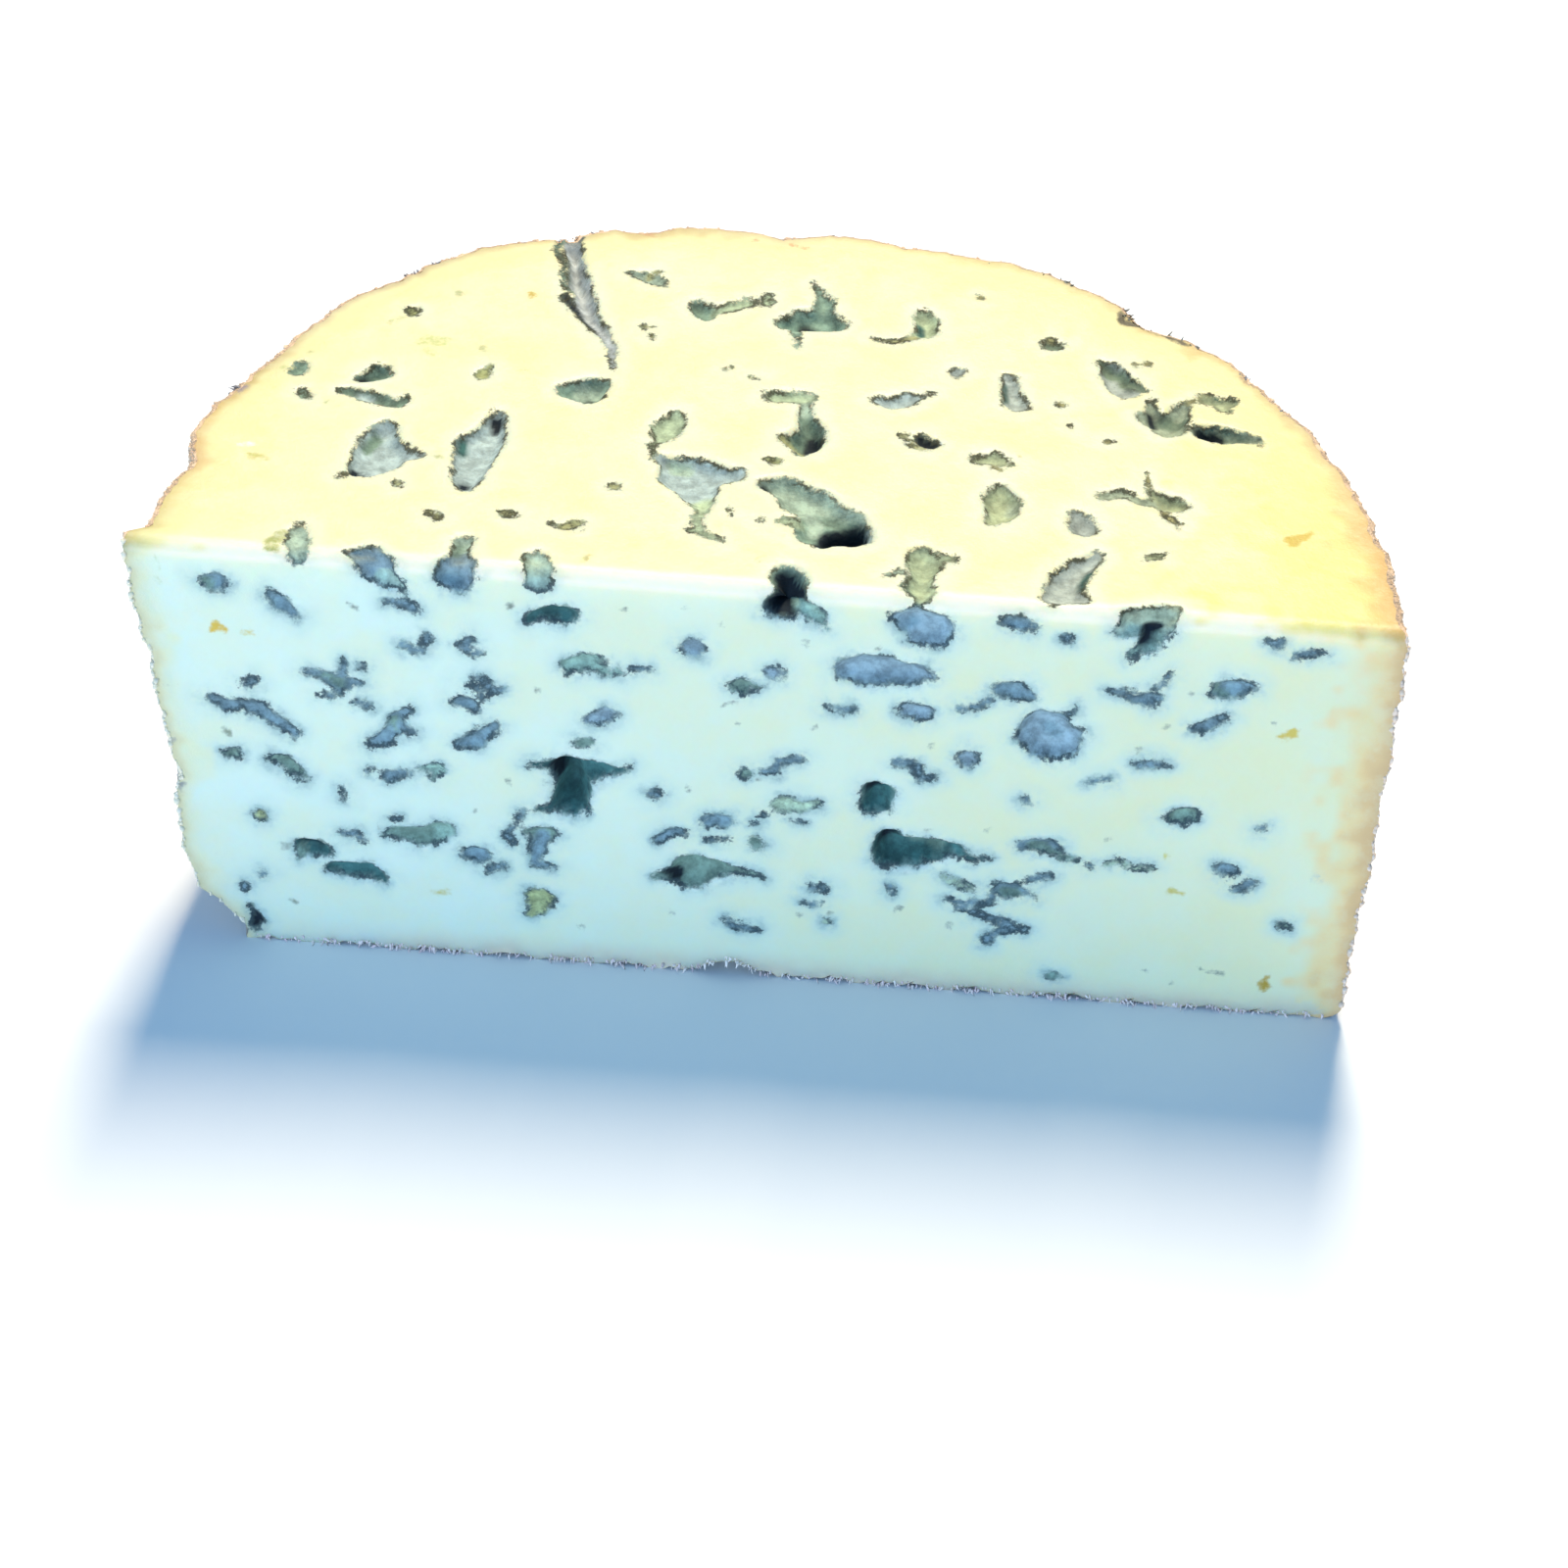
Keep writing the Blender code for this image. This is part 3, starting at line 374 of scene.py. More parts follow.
# Pockets and round pits of the front cut, with z in place of y.
FRONT_POCKETS = (
    ("blue", 0.6, (-58.2, 48.6, 0.6), (-56.9, 48.5, 0.9)),
    ("dusk", 0.8, (-58.5, 48.7, 0.4), (-57.8, 47.9, 0.3)),
    ("blue", 0.7, (-51.4, 47.5, 0.4), (-50.3, 46.3, 0.9), (-48.9, 45.2, 0.5)),
    ("blue", 0.5, (-39.3, 47.4, 0.35), (-36.6, 47.2, 0.5)),
    ("blue", 0.4, (-38.0, 42.1, 0.3), (-35.7, 41.6, 0.4)),
    ("blue", 0.8, (-47.6, 37.7, 0.3), (-46.4, 37.3, 0.6), (-44.8, 36.9, 0.9), (-42.4, 37.0, 0.25)),
    ("blue", 0.6, (-44.8, 36.4, 0.5), (-44.6, 35.4, 0.2)),
    ("blue", 0.6, (-44.3, 37.6, 0.5), (-43.8, 39.1, 0.3)),
    ("dusk", 0.9, (-46.2, 37.2, 0.3), (-44.6, 36.8, 0.4)),
    ("blue", 0.4, (-54.5, 35.5, 0.35), (-53.3, 36.0, 0.35)),
    ("blue", 0.3, (-46.4, 34.7, 0.3), (-45.5, 34.5, 0.25)),
    ("blue", 0.3, (-43.0, 34.3, 0.3), (-41.5, 33.7, 0.25)),
    ("blue", 0.4, (-58.2, 33.4, 0.5), (-56.8, 32.5, 0.6), (-55.0, 32.8, 0.6), (-53.0, 32.2, 0.9)),
    ("blue", 0.4, (-53.0, 32.2, 0.9), (-52.0, 31.0, 0.6), (-51.0, 30.0, 0.6), (-49.8, 29.4, 0.5)),
    ("blue", 0.8, (-37.5, 33.6, 0.5), (-38.5, 32.4, 0.8), (-38.5, 30.8, 1.0), (-39.6, 29.6, 0.9)),
    ("blue", 0.7, (-39.6, 29.6, 0.9), (-41.3, 28.5, 0.4)),
    ("dusk", 1.0, (-38.9, 31.8, 0.4), (-38.3, 30.6, 0.4)),
    ("blue", 0.4, (-37.8, 30.8, 0.5), (-36.9, 30.4, 0.3)),
    ("dusk", 0.7, (-56.7, 25.8, 0.5), (-55.6, 25.8, 0.5)),
    ("dusk", 1.0, (-51.8, 25.7, 0.5), (-50.6, 25.4, 0.7), (-49.6, 24.2, 0.6), (-48.5, 23.3, 0.2)),
    ("teal", 0.6, (-35.6, 26.0, 0.4), (-34.5, 26.2, 0.7), (-34.6, 25.0, 0.4)),
    ("blue", 0.5, (-39.6, 24.4, 0.7), (-38.2, 24.7, 0.45), (-37.1, 24.8, 0.2)),
    ("blue", 0.4, (-39.2, 18.4, 0.35), (-38.8, 18.9, 0.3)),
    ("teal", 1.2, (-39.7, 16.4, 0.4), (-38.0, 16.5, 0.8), (-36.2, 16.5, 1.2), (-34.4, 17.1, 1.2)),
    ("teal", 0.9, (-34.4, 17.1, 1.2), (-33.1, 17.5, 0.5)),
    ("dusk", 1.4, (-37.6, 16.2, 0.5), (-35.4, 16.1, 0.5)),
    ("blue", 0.3, (-44.4, 15.8, 0.3), (-43.2, 15.9, 0.3), (-42.7, 15.1, 0.2)),
    ("deep", 1.7, (-49.0, 14.0, 0.8), (-47.8, 13.6, 1.1), (-46.4, 13.0, 0.5)),
    ("dusk", 1.2, (-49.0, 12.8, 0.6), (-49.2, 12.2, 0.3)),
    ("ink", 1.7, (-48.6, 14.4, 0.4), (-47.4, 13.9, 0.5)),
    ("deep", 1.5, (-45.8, 10.8, 0.5), (-44.0, 10.6, 0.8), (-42.0, 10.8, 0.9), (-40.0, 9.9, 0.3)),
    ("ink", 1.6, (-54.8, 4.4, 0.05), (-54.5, 3.2, 0.5), (-54.4, 2.2, 0.7), (-54.4, 1.6, 0.3)),
    ("deep", 1.4, (-24.5, 47.0, 0.5), (-22.8, 47.6, 1.0), (-21.0, 47.5, 1.0), (-20.2, 47.6, 0.6)),
    ("blue", 0.4, (-31.0, 43.7, 0.35), (-31.6, 43.1, 0.35), (-30.3, 42.0, 0.3)),
    ("sky", 0.6, (-8.0, 44.7, 1.0), (-7.6, 44.7, 1.0)),
    ("teal", 0.8, (-20.3, 41.2, 0.8), (-18.8, 41.6, 0.8), (-17.3, 41.8, 0.4)),
    ("teal", 0.6, (-19.2, 40.9, 0.7), (-17.2, 40.9, 0.5), (-15.3, 40.5, 0.15)),
    ("blue", 0.3, (-13.9, 41.0, 0.3), (-12.2, 41.3, 0.25)),
    ("dusk", 0.9, (-3.4, 39.8, 0.4), (-2.2, 40.0, 0.7), (-1.3, 40.0, 0.3)),
    ("blue", 0.4, (-30.4, 38.8, 0.25), (-29.9, 37.2, 0.3)),
    ("blue", 0.4, (-31.2, 37.8, 0.2), (-30.3, 37.8, 0.2)),
    ("blue", 0.5, (-29.5, 38.7, 0.2), (-28.7, 37.0, 0.35), (-27.5, 37.2, 0.2)),
    ("blue", 0.7, (-32.0, 35.2, 0.8), (-30.9, 34.9, 0.9)),
    ("sky", 0.6, (-18.4, 33.8, 0.5), (-17.2, 34.6, 0.8), (-16.4, 35.2, 0.6)),
    ("dusk", 0.8, (-19.2, 31.1, 0.5), (-18.4, 31.2, 0.4)),
    ("blue", 0.7, (-31.6, 29.8, 0.5), (-30.2, 30.4, 0.9), (-28.9, 32.0, 0.6), (-28.2, 32.7, 0.25)),
    ("deep", 4.2, (-20.8, 27.3, 1.5), (-19.9, 25.0, 1.7), (-20.2, 23.2, 1.7), (-20.4, 22.4, 1.5)),
    ("deep", 2.2, (-20.4, 27.6, 1.3), (-18.0, 27.2, 1.1), (-16.0, 27.3, 0.5), (-13.9, 28.3, 0.15)),
    ("deep", 1.0, (-24.6, 27.5, 0.25), (-22.6, 27.5, 0.5), (-21.0, 27.5, 1.0)),
    ("deep", 0.9, (-23.6, 21.6, 0.25), (-20.6, 22.2, 0.6), (-18.6, 22.0, 0.4)),
    ("ink", 4.6, (-22.0, 27.2, 0.6), (-21.4, 25.6, 0.3)),
    ("blue", 0.4, (-11.6, 24.8, 0.35), (-10.6, 24.8, 0.35)),
    ("blue", 0.7, (-5.0, 21.8, 0.8), (-4.1, 21.8, 0.9)),
    ("blue", 0.8, (-10.4, 18.6, 0.5), (-9.4, 19.3, 0.6), (-8.1, 19.4, 0.5)),
    ("blue", 0.2, (-5.2, 19.1, 0.2), (-3.4, 19.0, 0.2)),
    ("blue", 0.4, (-25.4, 20.9, 0.25), (-25.7, 19.5, 0.25), (-26.6, 17.8, 0.3), (-26.1, 16.5, 0.2)),
    ("dusk", 0.9, (-24.2, 18.0, 0.6), (-22.4, 18.0, 0.8), (-21.4, 18.0, 0.3)),
    ("blue", 0.8, (-23.2, 17.4, 0.6), (-23.8, 15.4, 0.7), (-23.7, 13.8, 0.3), (-22.0, 13.3, 0.2)),
    ("blue", 0.7, (-30.9, 14.3, 0.8), (-29.8, 14.4, 0.9)),
    ("blue", 0.3, (-29.2, 12.3, 0.25), (-27.3, 12.7, 0.25)),
    ("olive", 0.5, (-23.8, 8.8, 1.0), (-22.8, 8.7, 1.2), (-24.0, 6.9, 0.5)),
    ("dusk", 1.7, (-10.6, 13.1, 0.25), (-8.4, 13.6, 0.8), (-6.6, 14.0, 2.1), (-4.2, 14.6, 1.1)),
    ("dusk", 0.9, (-4.2, 14.6, 1.1), (-2.2, 14.7, 0.5), (0.7, 14.1, 0.12)),
    ("ink", 2.4, (-9.0, 13.7, 0.5), (-8.2, 13.2, 0.4)),
    ("blue", 0.3, (-2.9, 7.9, 0.25), (-1.7, 7.2, 0.3), (0.3, 6.8, 0.25)),
    ("sky", 1.1, (12.8, 50.6, 0.5), (14.8, 50.2, 1.6), (16.4, 49.3, 2.3), (17.5, 49.2, 1.4)),
    ("sky", 1.0, (15.6, 48.4, 1.4), (16.8, 48.2, 1.2)),
    ("sky", 1.2, (8.0, 43.2, 1.1), (9.4, 43.4, 1.9), (11.6, 43.3, 1.8), (13.8, 43.2, 1.4), (15.4, 43.5, 1.1)),
    ("sky", 0.8, (15.4, 43.2, 1.0), (17.1, 42.9, 0.3)),
    ("blue", 0.6, (24.2, 51.0, 0.7), (25.5, 50.8, 0.8), (26.6, 50.3, 0.3)),
    ("blue", 0.7, (24.2, 42.4, 0.8), (25.8, 42.1, 1.1), (27.3, 41.6, 0.5)),
    ("blue", 0.2, (20.2, 39.4, 0.25), (21.8, 39.8, 0.25), (23.0, 41.0, 0.2)),
    ("sky", 0.7, (14.8, 38.5, 0.8), (16.3, 38.5, 0.9)),
    ("blue", 0.4, (7.9, 38.0, 0.45), (9.0, 38.2, 0.35)),
    ("sky", 1.3, (27.4, 36.4, 1.1), (29.4, 36.6, 2.7), (30.8, 35.8, 2.3), (32.3, 36.8, 0.9)),
    ("sky", 1.0, (28.8, 38.9, 0.9), (30.6, 38.9, 0.7)),
    ("blue", 1.4, (29.4, 36.9, 0.7), (30.4, 36.4, 0.6)),
    ("blue", 0.4, (30.7, 39.4, 0.25), (32.0, 40.3, 0.25)),
    ("blue", 0.4, (14.2, 31.7, 0.3), (15.6, 31.7, 0.3), (16.4, 30.6, 0.35)),
    ("blue", 0.4, (16.4, 30.6, 0.35), (16.8, 29.9, 0.4), (18.2, 29.8, 0.3)),
    ("blue", 0.3, (0.0, 29.0, 0.25), (1.5, 29.0, 0.3), (1.9, 30.3, 0.3), (4.2, 30.8, 0.25)),
    ("deep", 2.6, (11.5, 27.6, 0.8), (12.4, 26.4, 1.5), (12.0, 25.2, 1.2), (13.4, 25.0, 0.6)),
    ("ink", 3.6, (11.4, 27.8, 0.4), (11.9, 27.0, 0.6)),
    ("grey", 0.4, (1.6, 24.4, 0.6), (2.6, 24.8, 1.0), (4.6, 24.9, 0.6), (6.3, 24.9, 0.2)),
    ("blue", 0.3, (3.4, 22.8, 0.25), (4.8, 22.2, 0.2)),
    ("dusk", 0.7, (-0.1, 18.9, 0.5), (0.3, 18.4, 0.4)),
    ("deep", 3.0, (13.9, 20.6, 1.1), (14.0, 18.2, 1.2), (16.6, 19.2, 1.9), (19.0, 19.7, 1.4)),
    ("deep", 1.4, (18.6, 19.7, 1.4), (20.6, 19.7, 0.8), (22.4, 19.3, 0.35), (24.4, 19.2, 0.1)),
    ("dusk", 2.4, (16.6, 19.8, 0.7), (19.2, 19.6, 0.6)),
    ("ink", 3.6, (13.8, 20.8, 0.5), (14.0, 19.6, 0.5)),
    ("blue", 0.9, (28.0, 21.5, 0.4), (30.0, 21.6, 0.8), (31.6, 21.9, 0.6)),
    ("dusk", 1.1, (29.4, 21.2, 0.4), (31.0, 21.0, 0.4), (32.6, 20.4, 0.4), (33.8, 20.1, 0.2)),
    ("grey", 0.3, (20.3, 16.2, 0.2), (21.7, 15.7, 0.3), (23.5, 15.1, 0.2)),
    ("blue", 1.0, (26.6, 15.2, 0.8), (27.8, 15.0, 1.0), (28.8, 14.8, 0.5)),
    ("dusk", 1.1, (26.8, 14.6, 0.4), (28.2, 14.4, 0.4)),
    ("blue", 0.3, (29.4, 16.4, 0.25), (30.3, 16.9, 0.25), (31.4, 17.3, 0.2)),
    ("blue", 0.4, (20.9, 13.1, 0.25), (23.0, 12.8, 0.35), (25.3, 13.3, 0.35), (25.8, 14.2, 0.3)),
    ("blue", 0.4, (22.2, 11.9, 0.25), (24.4, 11.3, 0.35), (26.0, 10.5, 0.35)),
    ("blue", 0.4, (26.0, 10.5, 0.35), (27.5, 9.9, 0.35), (29.6, 9.8, 0.25)),
    ("blue", 0.5, (27.6, 9.6, 0.3), (26.2, 8.8, 0.35), (25.4, 7.6, 0.5)),
    ("blue", 0.2, (14.2, 14.6, 0.25), (14.7, 13.8, 0.25)),
    ("blue", 0.2, (5.9, 13.4, 0.25), (7.7, 13.4, 0.25)),
    ("blue", 0.2, (5.5, 11.1, 0.25), (6.8, 11.2, 0.25)),
    ("blue", 0.4, (50.9, 51.2, 0.2), (51.9, 50.9, 0.45), (51.8, 50.4, 0.2)),
    ("blue", 0.4, (53.6, 49.4, 0.2), (55.3, 49.8, 0.3), (56.5, 49.9, 0.2)),
    ("blue", 0.9, (46.0, 43.8, 0.4), (47.4, 44.3, 1.1), (48.8, 44.6, 0.7), (50.1, 44.9, 0.15)),
    ("dusk", 1.0, (46.5, 44.9, 0.2), (46.4, 44.0, 0.25), (47.2, 43.4, 0.2)),
    ("blue", 0.7, (35.2, 43.1, 0.25), (37.0, 42.7, 0.4), (39.3, 42.2, 0.7), (40.4, 42.2, 0.4)),
    ("blue", 0.4, (40.0, 43.9, 0.2), (40.7, 44.4, 0.25), (41.4, 45.4, 0.2)),
    ("blue", 0.7, (44.4, 39.0, 0.4), (45.9, 39.1, 0.8), (47.3, 40.5, 0.4)),
    ("blue", 0.4, (39.2, 33.7, 0.3), (40.6, 34.0, 0.45), (42.2, 34.0, 0.2)),
    ("blue", 0.3, (34.6, 31.0, 0.25), (36.1, 31.4, 0.25)),
    ("dusk", 1.0, (43.0, 26.7, 0.4), (44.4, 27.1, 0.8), (45.9, 27.3, 0.5)),
    ("grey", 0.3, (37.2, 19.8, 0.25), (38.8, 20.2, 0.2), (40.3, 19.6, 0.2), (41.8, 19.8, 0.2)),
    ("dusk", 0.5, (56.9, 12.9, 0.4), (57.4, 12.9, 0.3)),
    ("teal", 0.4, (32.8, 3.1, 0.5), (33.5, 3.1, 0.45)),
)
FRONT_PITS = (
    ("blue", 0.4, (-35.3, 43.1, 0.5), (-55.3, 7.6, 0.4)),
    (
        "blue", 0.2,
        (-42.0, 39.3, 0.25), (-41.5, 25.0, 0.25), (-44.4, 22.1, 0.3), (-44.3, 20.9, 0.3),
        (6.7, 38.0, 0.2), (0.0, 23.1, 0.25), (-0.6, 21.5, 0.35), (35.2, 19.3, 0.25), (29.7, 14.3, 0.25),
    ),
    ("olive", 0.4, (-53.3, 17.8, 0.6)),
    (
        "blue", 0.3,
        (-53.2, 9.6, 0.35), (-29.4, 36.2, 0.3), (30.7, 49.4, 0.45), (28.2, 27.6, 0.35),
        (53.1, 26.1, 0.45), (51.5, 17.7, 0.35),
    ),
    ("dusk", 0.5, (-1.7, 28.5, 0.5)),
    ("blue", 1.2, (14.7, 49.8, 0.3)),
    ("sky", 0.4, (0.8, 42.2, 0.75)),
    ("sky", 0.6, (21.3, 32.9, 1.0)),
    ("grey", 0.2, (8.1, 8.6, 0.35)),
    ("blue", 0.7, (49.9, 20.0, 1.1)),
    ("blue", 0.6, (52.6, 18.4, 0.7)),
)

# Stains that lie flat in the paste: screen colour, strength, then (x, y, half width).
# A y below 0 is on the front cut, that far under the top.
STAINS = (
    (linear(219, 184, 74), 1.0, (-57.6, -10.2, 0.7), (-56.6, -10.6, 0.5)),
    (linear(214, 192, 92), 1.0, (-54.2, -10.9, 0.3), (-53.4, -10.7, 0.4)),
    (linear(213, 189, 93), 1.0, (53.4, -14.6, 0.4), (54.8, -14.0, 0.7)),
    (linear(204, 192, 110), 0.9, (44.4, -36.2, 0.5), (45.6, -36.5, 0.5)),
    (linear(206, 196, 128), 0.8, (-34.6, -44.6, 0.5), (-33.4, -44.3, 0.5)),
    (linear(185, 153, 56), 1.0, (56.2, -47.4, 0.25), (56.1, -48.7, 0.8)),
    (linear(210, 180, 66), 1.0, (53.6, 14.8, 0.9), (55.6, 16.9, 0.4)),
    (linear(186, 178, 108), 0.8, (-19.2, 2.2, 0.4), (-19.0, 3.4, 0.4)),
    (linear(201, 193, 110), 0.8, (-56.0, 16.5, 0.6), (-54.6, 16.6, 0.5)),
    (linear(168, 170, 96), 0.8, (-51.6, 1.0, 1.1), (-50.4, 3.6, 0.9)),
    (linear(246, 238, 226), 0.7, (-57.2, 18.5, 0.6), (-55.6, 18.6, 0.4)),
    (linear(126, 112, 92), 0.7, (-65.0, -18.0, 0.1), (-61.6, -18.4, 0.06)),
    (linear(190, 196, 140), 0.6, (-63.0, -1.0, 0.15), (-63.0, -5.4, 0.35)),
    (linear(172, 178, 104), 0.5, (-44.6, 44.0, 0.9), (-43.4, 44.8, 0.5)),
    (linear(196, 200, 122), 0.6, (-40.2, 40.6, 1.4), (-38.8, 40.4, 1.2)),
    (linear(206, 206, 176), 0.5, (9.2, 45.0, 0.8), (10.8, 45.0, 0.8)),
    (linear(186, 188, 140), 0.5, (34.6, 1.0, 0.6), (36.0, 0.6, 0.6)),
    (linear(150, 158, 134), 0.8, (-40.9, -34.4, 0.2), (-40.9, -36.1, 0.2)),
    (linear(128, 138, 122), 0.85, (-4.6, -15.8, 0.3), (-3.3, -15.1, 0.3)),
    (linear(128, 138, 122), 0.85, (49.3, -47.2, 0.3), (51.7, -47.5, 0.3)),
    (linear(88, 78, 46), 1.0, (35.8, 56.2, 0.4), (36.6, 54.7, 0.7), (38.2, 53.9, 0.4)),
    (linear(96, 84, 52), 1.0, (39.0, 53.3, 0.3), (40.6, 52.6, 0.45), (42.2, 51.5, 0.6), (43.0, 50.5, 0.4)),
    (linear(140, 130, 104), 0.9, (29.8, 62.0, 0.4), (30.6, 61.0, 0.2)),
    (linear(176, 140, 104), 0.9, (49.0, 45.0, 0.4), (50.4, 43.8, 0.2)),
    (linear(216, 160, 112), 0.9, (-18.4, 65.6, 0.5), (-17.0, 65.6, 0.3)),
    (linear(216, 150, 96), 0.8, (-1.6, 65.4, 0.5), (0.6, 65.2, 0.2)),
    (linear(150, 132, 140), 0.8, (-59.2, 28.0, 0.5), (-58.4, 29.6, 0.3)),
)

# Round specks, stained alike, one at each place.
SPECKS = (
    (linear(206, 198, 116), 1.0, (43.4, -31.2, 0.5)),
    (linear(197, 168, 54), 1.0, (-29.8, 51.1, 0.6)),
    (linear(176, 168, 108), 1.0, (25.1, 27.0, 0.35)),
    (linear(170, 164, 150), 0.8, (-62.5, -25.6, 0.5)),
    (linear(150, 150, 142), 0.8, (-62.0, -32.0, 0.6)),
    (linear(196, 200, 122), 0.5, (-40.0, 38.3, 1.1)),
    (linear(186, 190, 112), 0.5, (-54.5, 33.5, 1.0)),
    (linear(198, 202, 186), 0.5, (33.0, 48.5, 1.2)),
    (linear(206, 206, 160), 0.5, (-3.3, 24.5, 0.9)),
    (linear(176, 196, 206), 0.5, (15.9, 28.4, 1.0)),
    (
        linear(178, 180, 124), 0.7,
        (-36.5, 19.0, 0.7), (-38.0, 50.5, 0.8), (-33.8, 39.8, 0.8), (-28.6, 35.8, 0.5),
        (-52.5, 37.0, 0.5), (-49.5, 27.6, 0.4), (-1.5, 5.3, 0.4),
    ),
    (linear(160, 170, 152), 0.7, (-50.9, -39.3, 0.9)),
    (linear(150, 158, 134), 0.8, (-56.6, -24.2, 0.7), (-50.0, -47.4, 0.6), (-41.5, -40.5, 0.4)),
    (
        linear(128, 138, 122), 0.85,
        (-43.3, -6.4, 0.5), (-26.8, -5.0, 0.5), (-14.9, -4.2, 0.5), (-8.6, -3.2, 0.4), (-5.2, -4.9, 0.4),
        (3.7, -6.5, 0.4), (11.2, -6.6, 0.4), (-2.8, -18.0, 0.4), (-23.7, -15.3, 0.4), (-26.8, -28.2, 0.4),
        (-22.8, -28.0, 0.4), (-12.4, -28.1, 0.3), (-7.8, -27.0, 0.4), (-0.2, -25.4, 0.4),
        (5.5, -17.7, 0.4), (17.4, -18.7, 0.4), (24.2, -29.8, 0.4), (18.2, -30.6, 0.4), (15.6, -41.6, 0.5),
        (43.9, -9.3, 0.3), (52.4, -12.3, 0.3), (41.5, -13.9, 0.4), (39.5, -17.6, 0.4),
    ),
    (
        linear(136, 146, 130), 0.8,
        (-8.7, -44.9, 0.4), (-18.6, -47.7, 0.4), (-30.4, -32.3, 0.4), (4.8, -43.9, 0.4),
        (21.3, -43.4, 0.5), (8.5, -43.0, 0.4), (37.3, -29.9, 0.4), (43.0, -48.1, 0.3), (45.5, -49.5, 0.3),
    ),
    (linear(190, 200, 190), 0.4, (60.0, -32.7, 1.2)),
    (linear(176, 140, 104), 0.8, (53.6, 38.5, 0.3)),
    (linear(216, 160, 112), 0.8, (-5.6, 66.0, 0.4)),
)

# The grid: columns, rows on each part, steps of about 0.4 mm, where the top's two back
# corners lie on the rim in degrees, and how far inward turns to either side of the edge.
COLUMNS, GRID_STEP = 320, 0.41
FRONT_ROWS, EDGE_ROWS, TOP_ROWS = 124, 8, 154
BACK_LEFT, BACK_RIGHT = 135.0, 45.0
RELAXING_PASSES = 500
EDGE_BLEND = 5.0

# Pockets: how much wider than its stroke each one is, how far up its walls the lining
# climbs, between which depths the floor is painted black as shade, and how far their outlines are torn.
POCKET_SPREAD, WALL_COVER = 0.12, 0.4
BLACK_FROM, BLACK_AT = 3.4, 5.6
COARSE_TEAR, FINE_TEAR = 0.42, 0.2
POCKET_REACH, STAIN_REACH = 6.5, 3.5
RIM_FAR = 4.0

# Relief of the cut faces and of the pockets' floors, and fraying of the painted borders.
FACE_RELIEF = ((0.10, 13.0, 21), (0.05, 4.6, 22), (0.02, 1.6, 23))
FLOOR_RELIEF = ((0.16, 1.6, 24), (0.05, 0.8, 25))
BORDER_FRAY, HEM_FRAY = ((0.4, 4.0, 26), (0.4, 1.5, 27)), ((0.4, 3.0, 28),)

# The working frame's origin in the part's own frame: middle of the width, back to the
# front cut's plane and down to the ground.
low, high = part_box("cheese")
arc = np.linspace(end_angle(SLAB_HEIGHT, 0), end_angle(SLAB_HEIGHT, 180), 400)
arc_x, _ = rind_xy(arc, SLAB_HEIGHT)
middle = 0.5 * (low.x + high.x) / MM - 0.5 * (arc_x.min() + arc_x.max())
SHIFT = np.array((middle, low.y / MM, low.z / MM))


def stroke(x, w, places):
    """Distance to a stroke, below 0 inside it: to each leg's line, less its width there; the least counts."""
    nearest = np.full(x.shape, 99.0)
    for start, end in zip(places, places[1:] if len(places) > 1 else places):
        run_x, run_w = end[0] - start[0], end[1] - start[1]
        share = ((x - start[0]) * run_x + (w - start[1]) * run_w) / (run_x**2 + run_w**2 + 1e-9)
        share = np.clip(share, 0.0, 1.0)
        gap = np.hypot(x - start[0] - share * run_x, w - start[1] - share * run_w)
        nearest = np.minimum(nearest, gap - start[2] - share * (end[2] - start[2]))
    return nearest


def close_to(x, w, places, reach):
    """True where a point is within reach of the box round a stroke."""
    spots = np.array(places)
    least, most = spots[:, :2].min(axis=0) - reach, spots[:, :2].max(axis=0) + reach
    return (x > least[0]) & (x < most[0]) & (w > least[1]) & (w < most[1])


def ragged(x, w, fine):
    """Moves points a little at random, so that strokes read there get the torn outline of real pockets."""
    x_off = relief(x, w, ((COARSE_TEAR, 2.1, 11), (fine, 0.9, 12)))
    w_off = relief(x, w, ((COARSE_TEAR, 2.1, 13), (fine, 0.9, 14)))
    return x + x_off, w + w_off


def each_alone(rows):
    """The rows of round spots, as one row of the same kind and number for each spot."""
    return [(kind, number, spot) for kind, number, *spots in rows for spot in spots]


def below_the_edge(rows):
    """Rows of the front cut with each height changed to how far over the edge it is."""
    return [
        (kind, deep, *((x, z - SLAB_HEIGHT, half) for x, z, half in places))
        for kind, deep, *places in rows
    ]


ALL_POCKETS = [*TOP_POCKETS, *each_alone(TOP_PITS)]
ALL_POCKETS += below_the_edge([*FRONT_POCKETS, *each_alone(FRONT_PITS)])
ALL_STAINS = [*STAINS, *each_alone(SPECKS)]


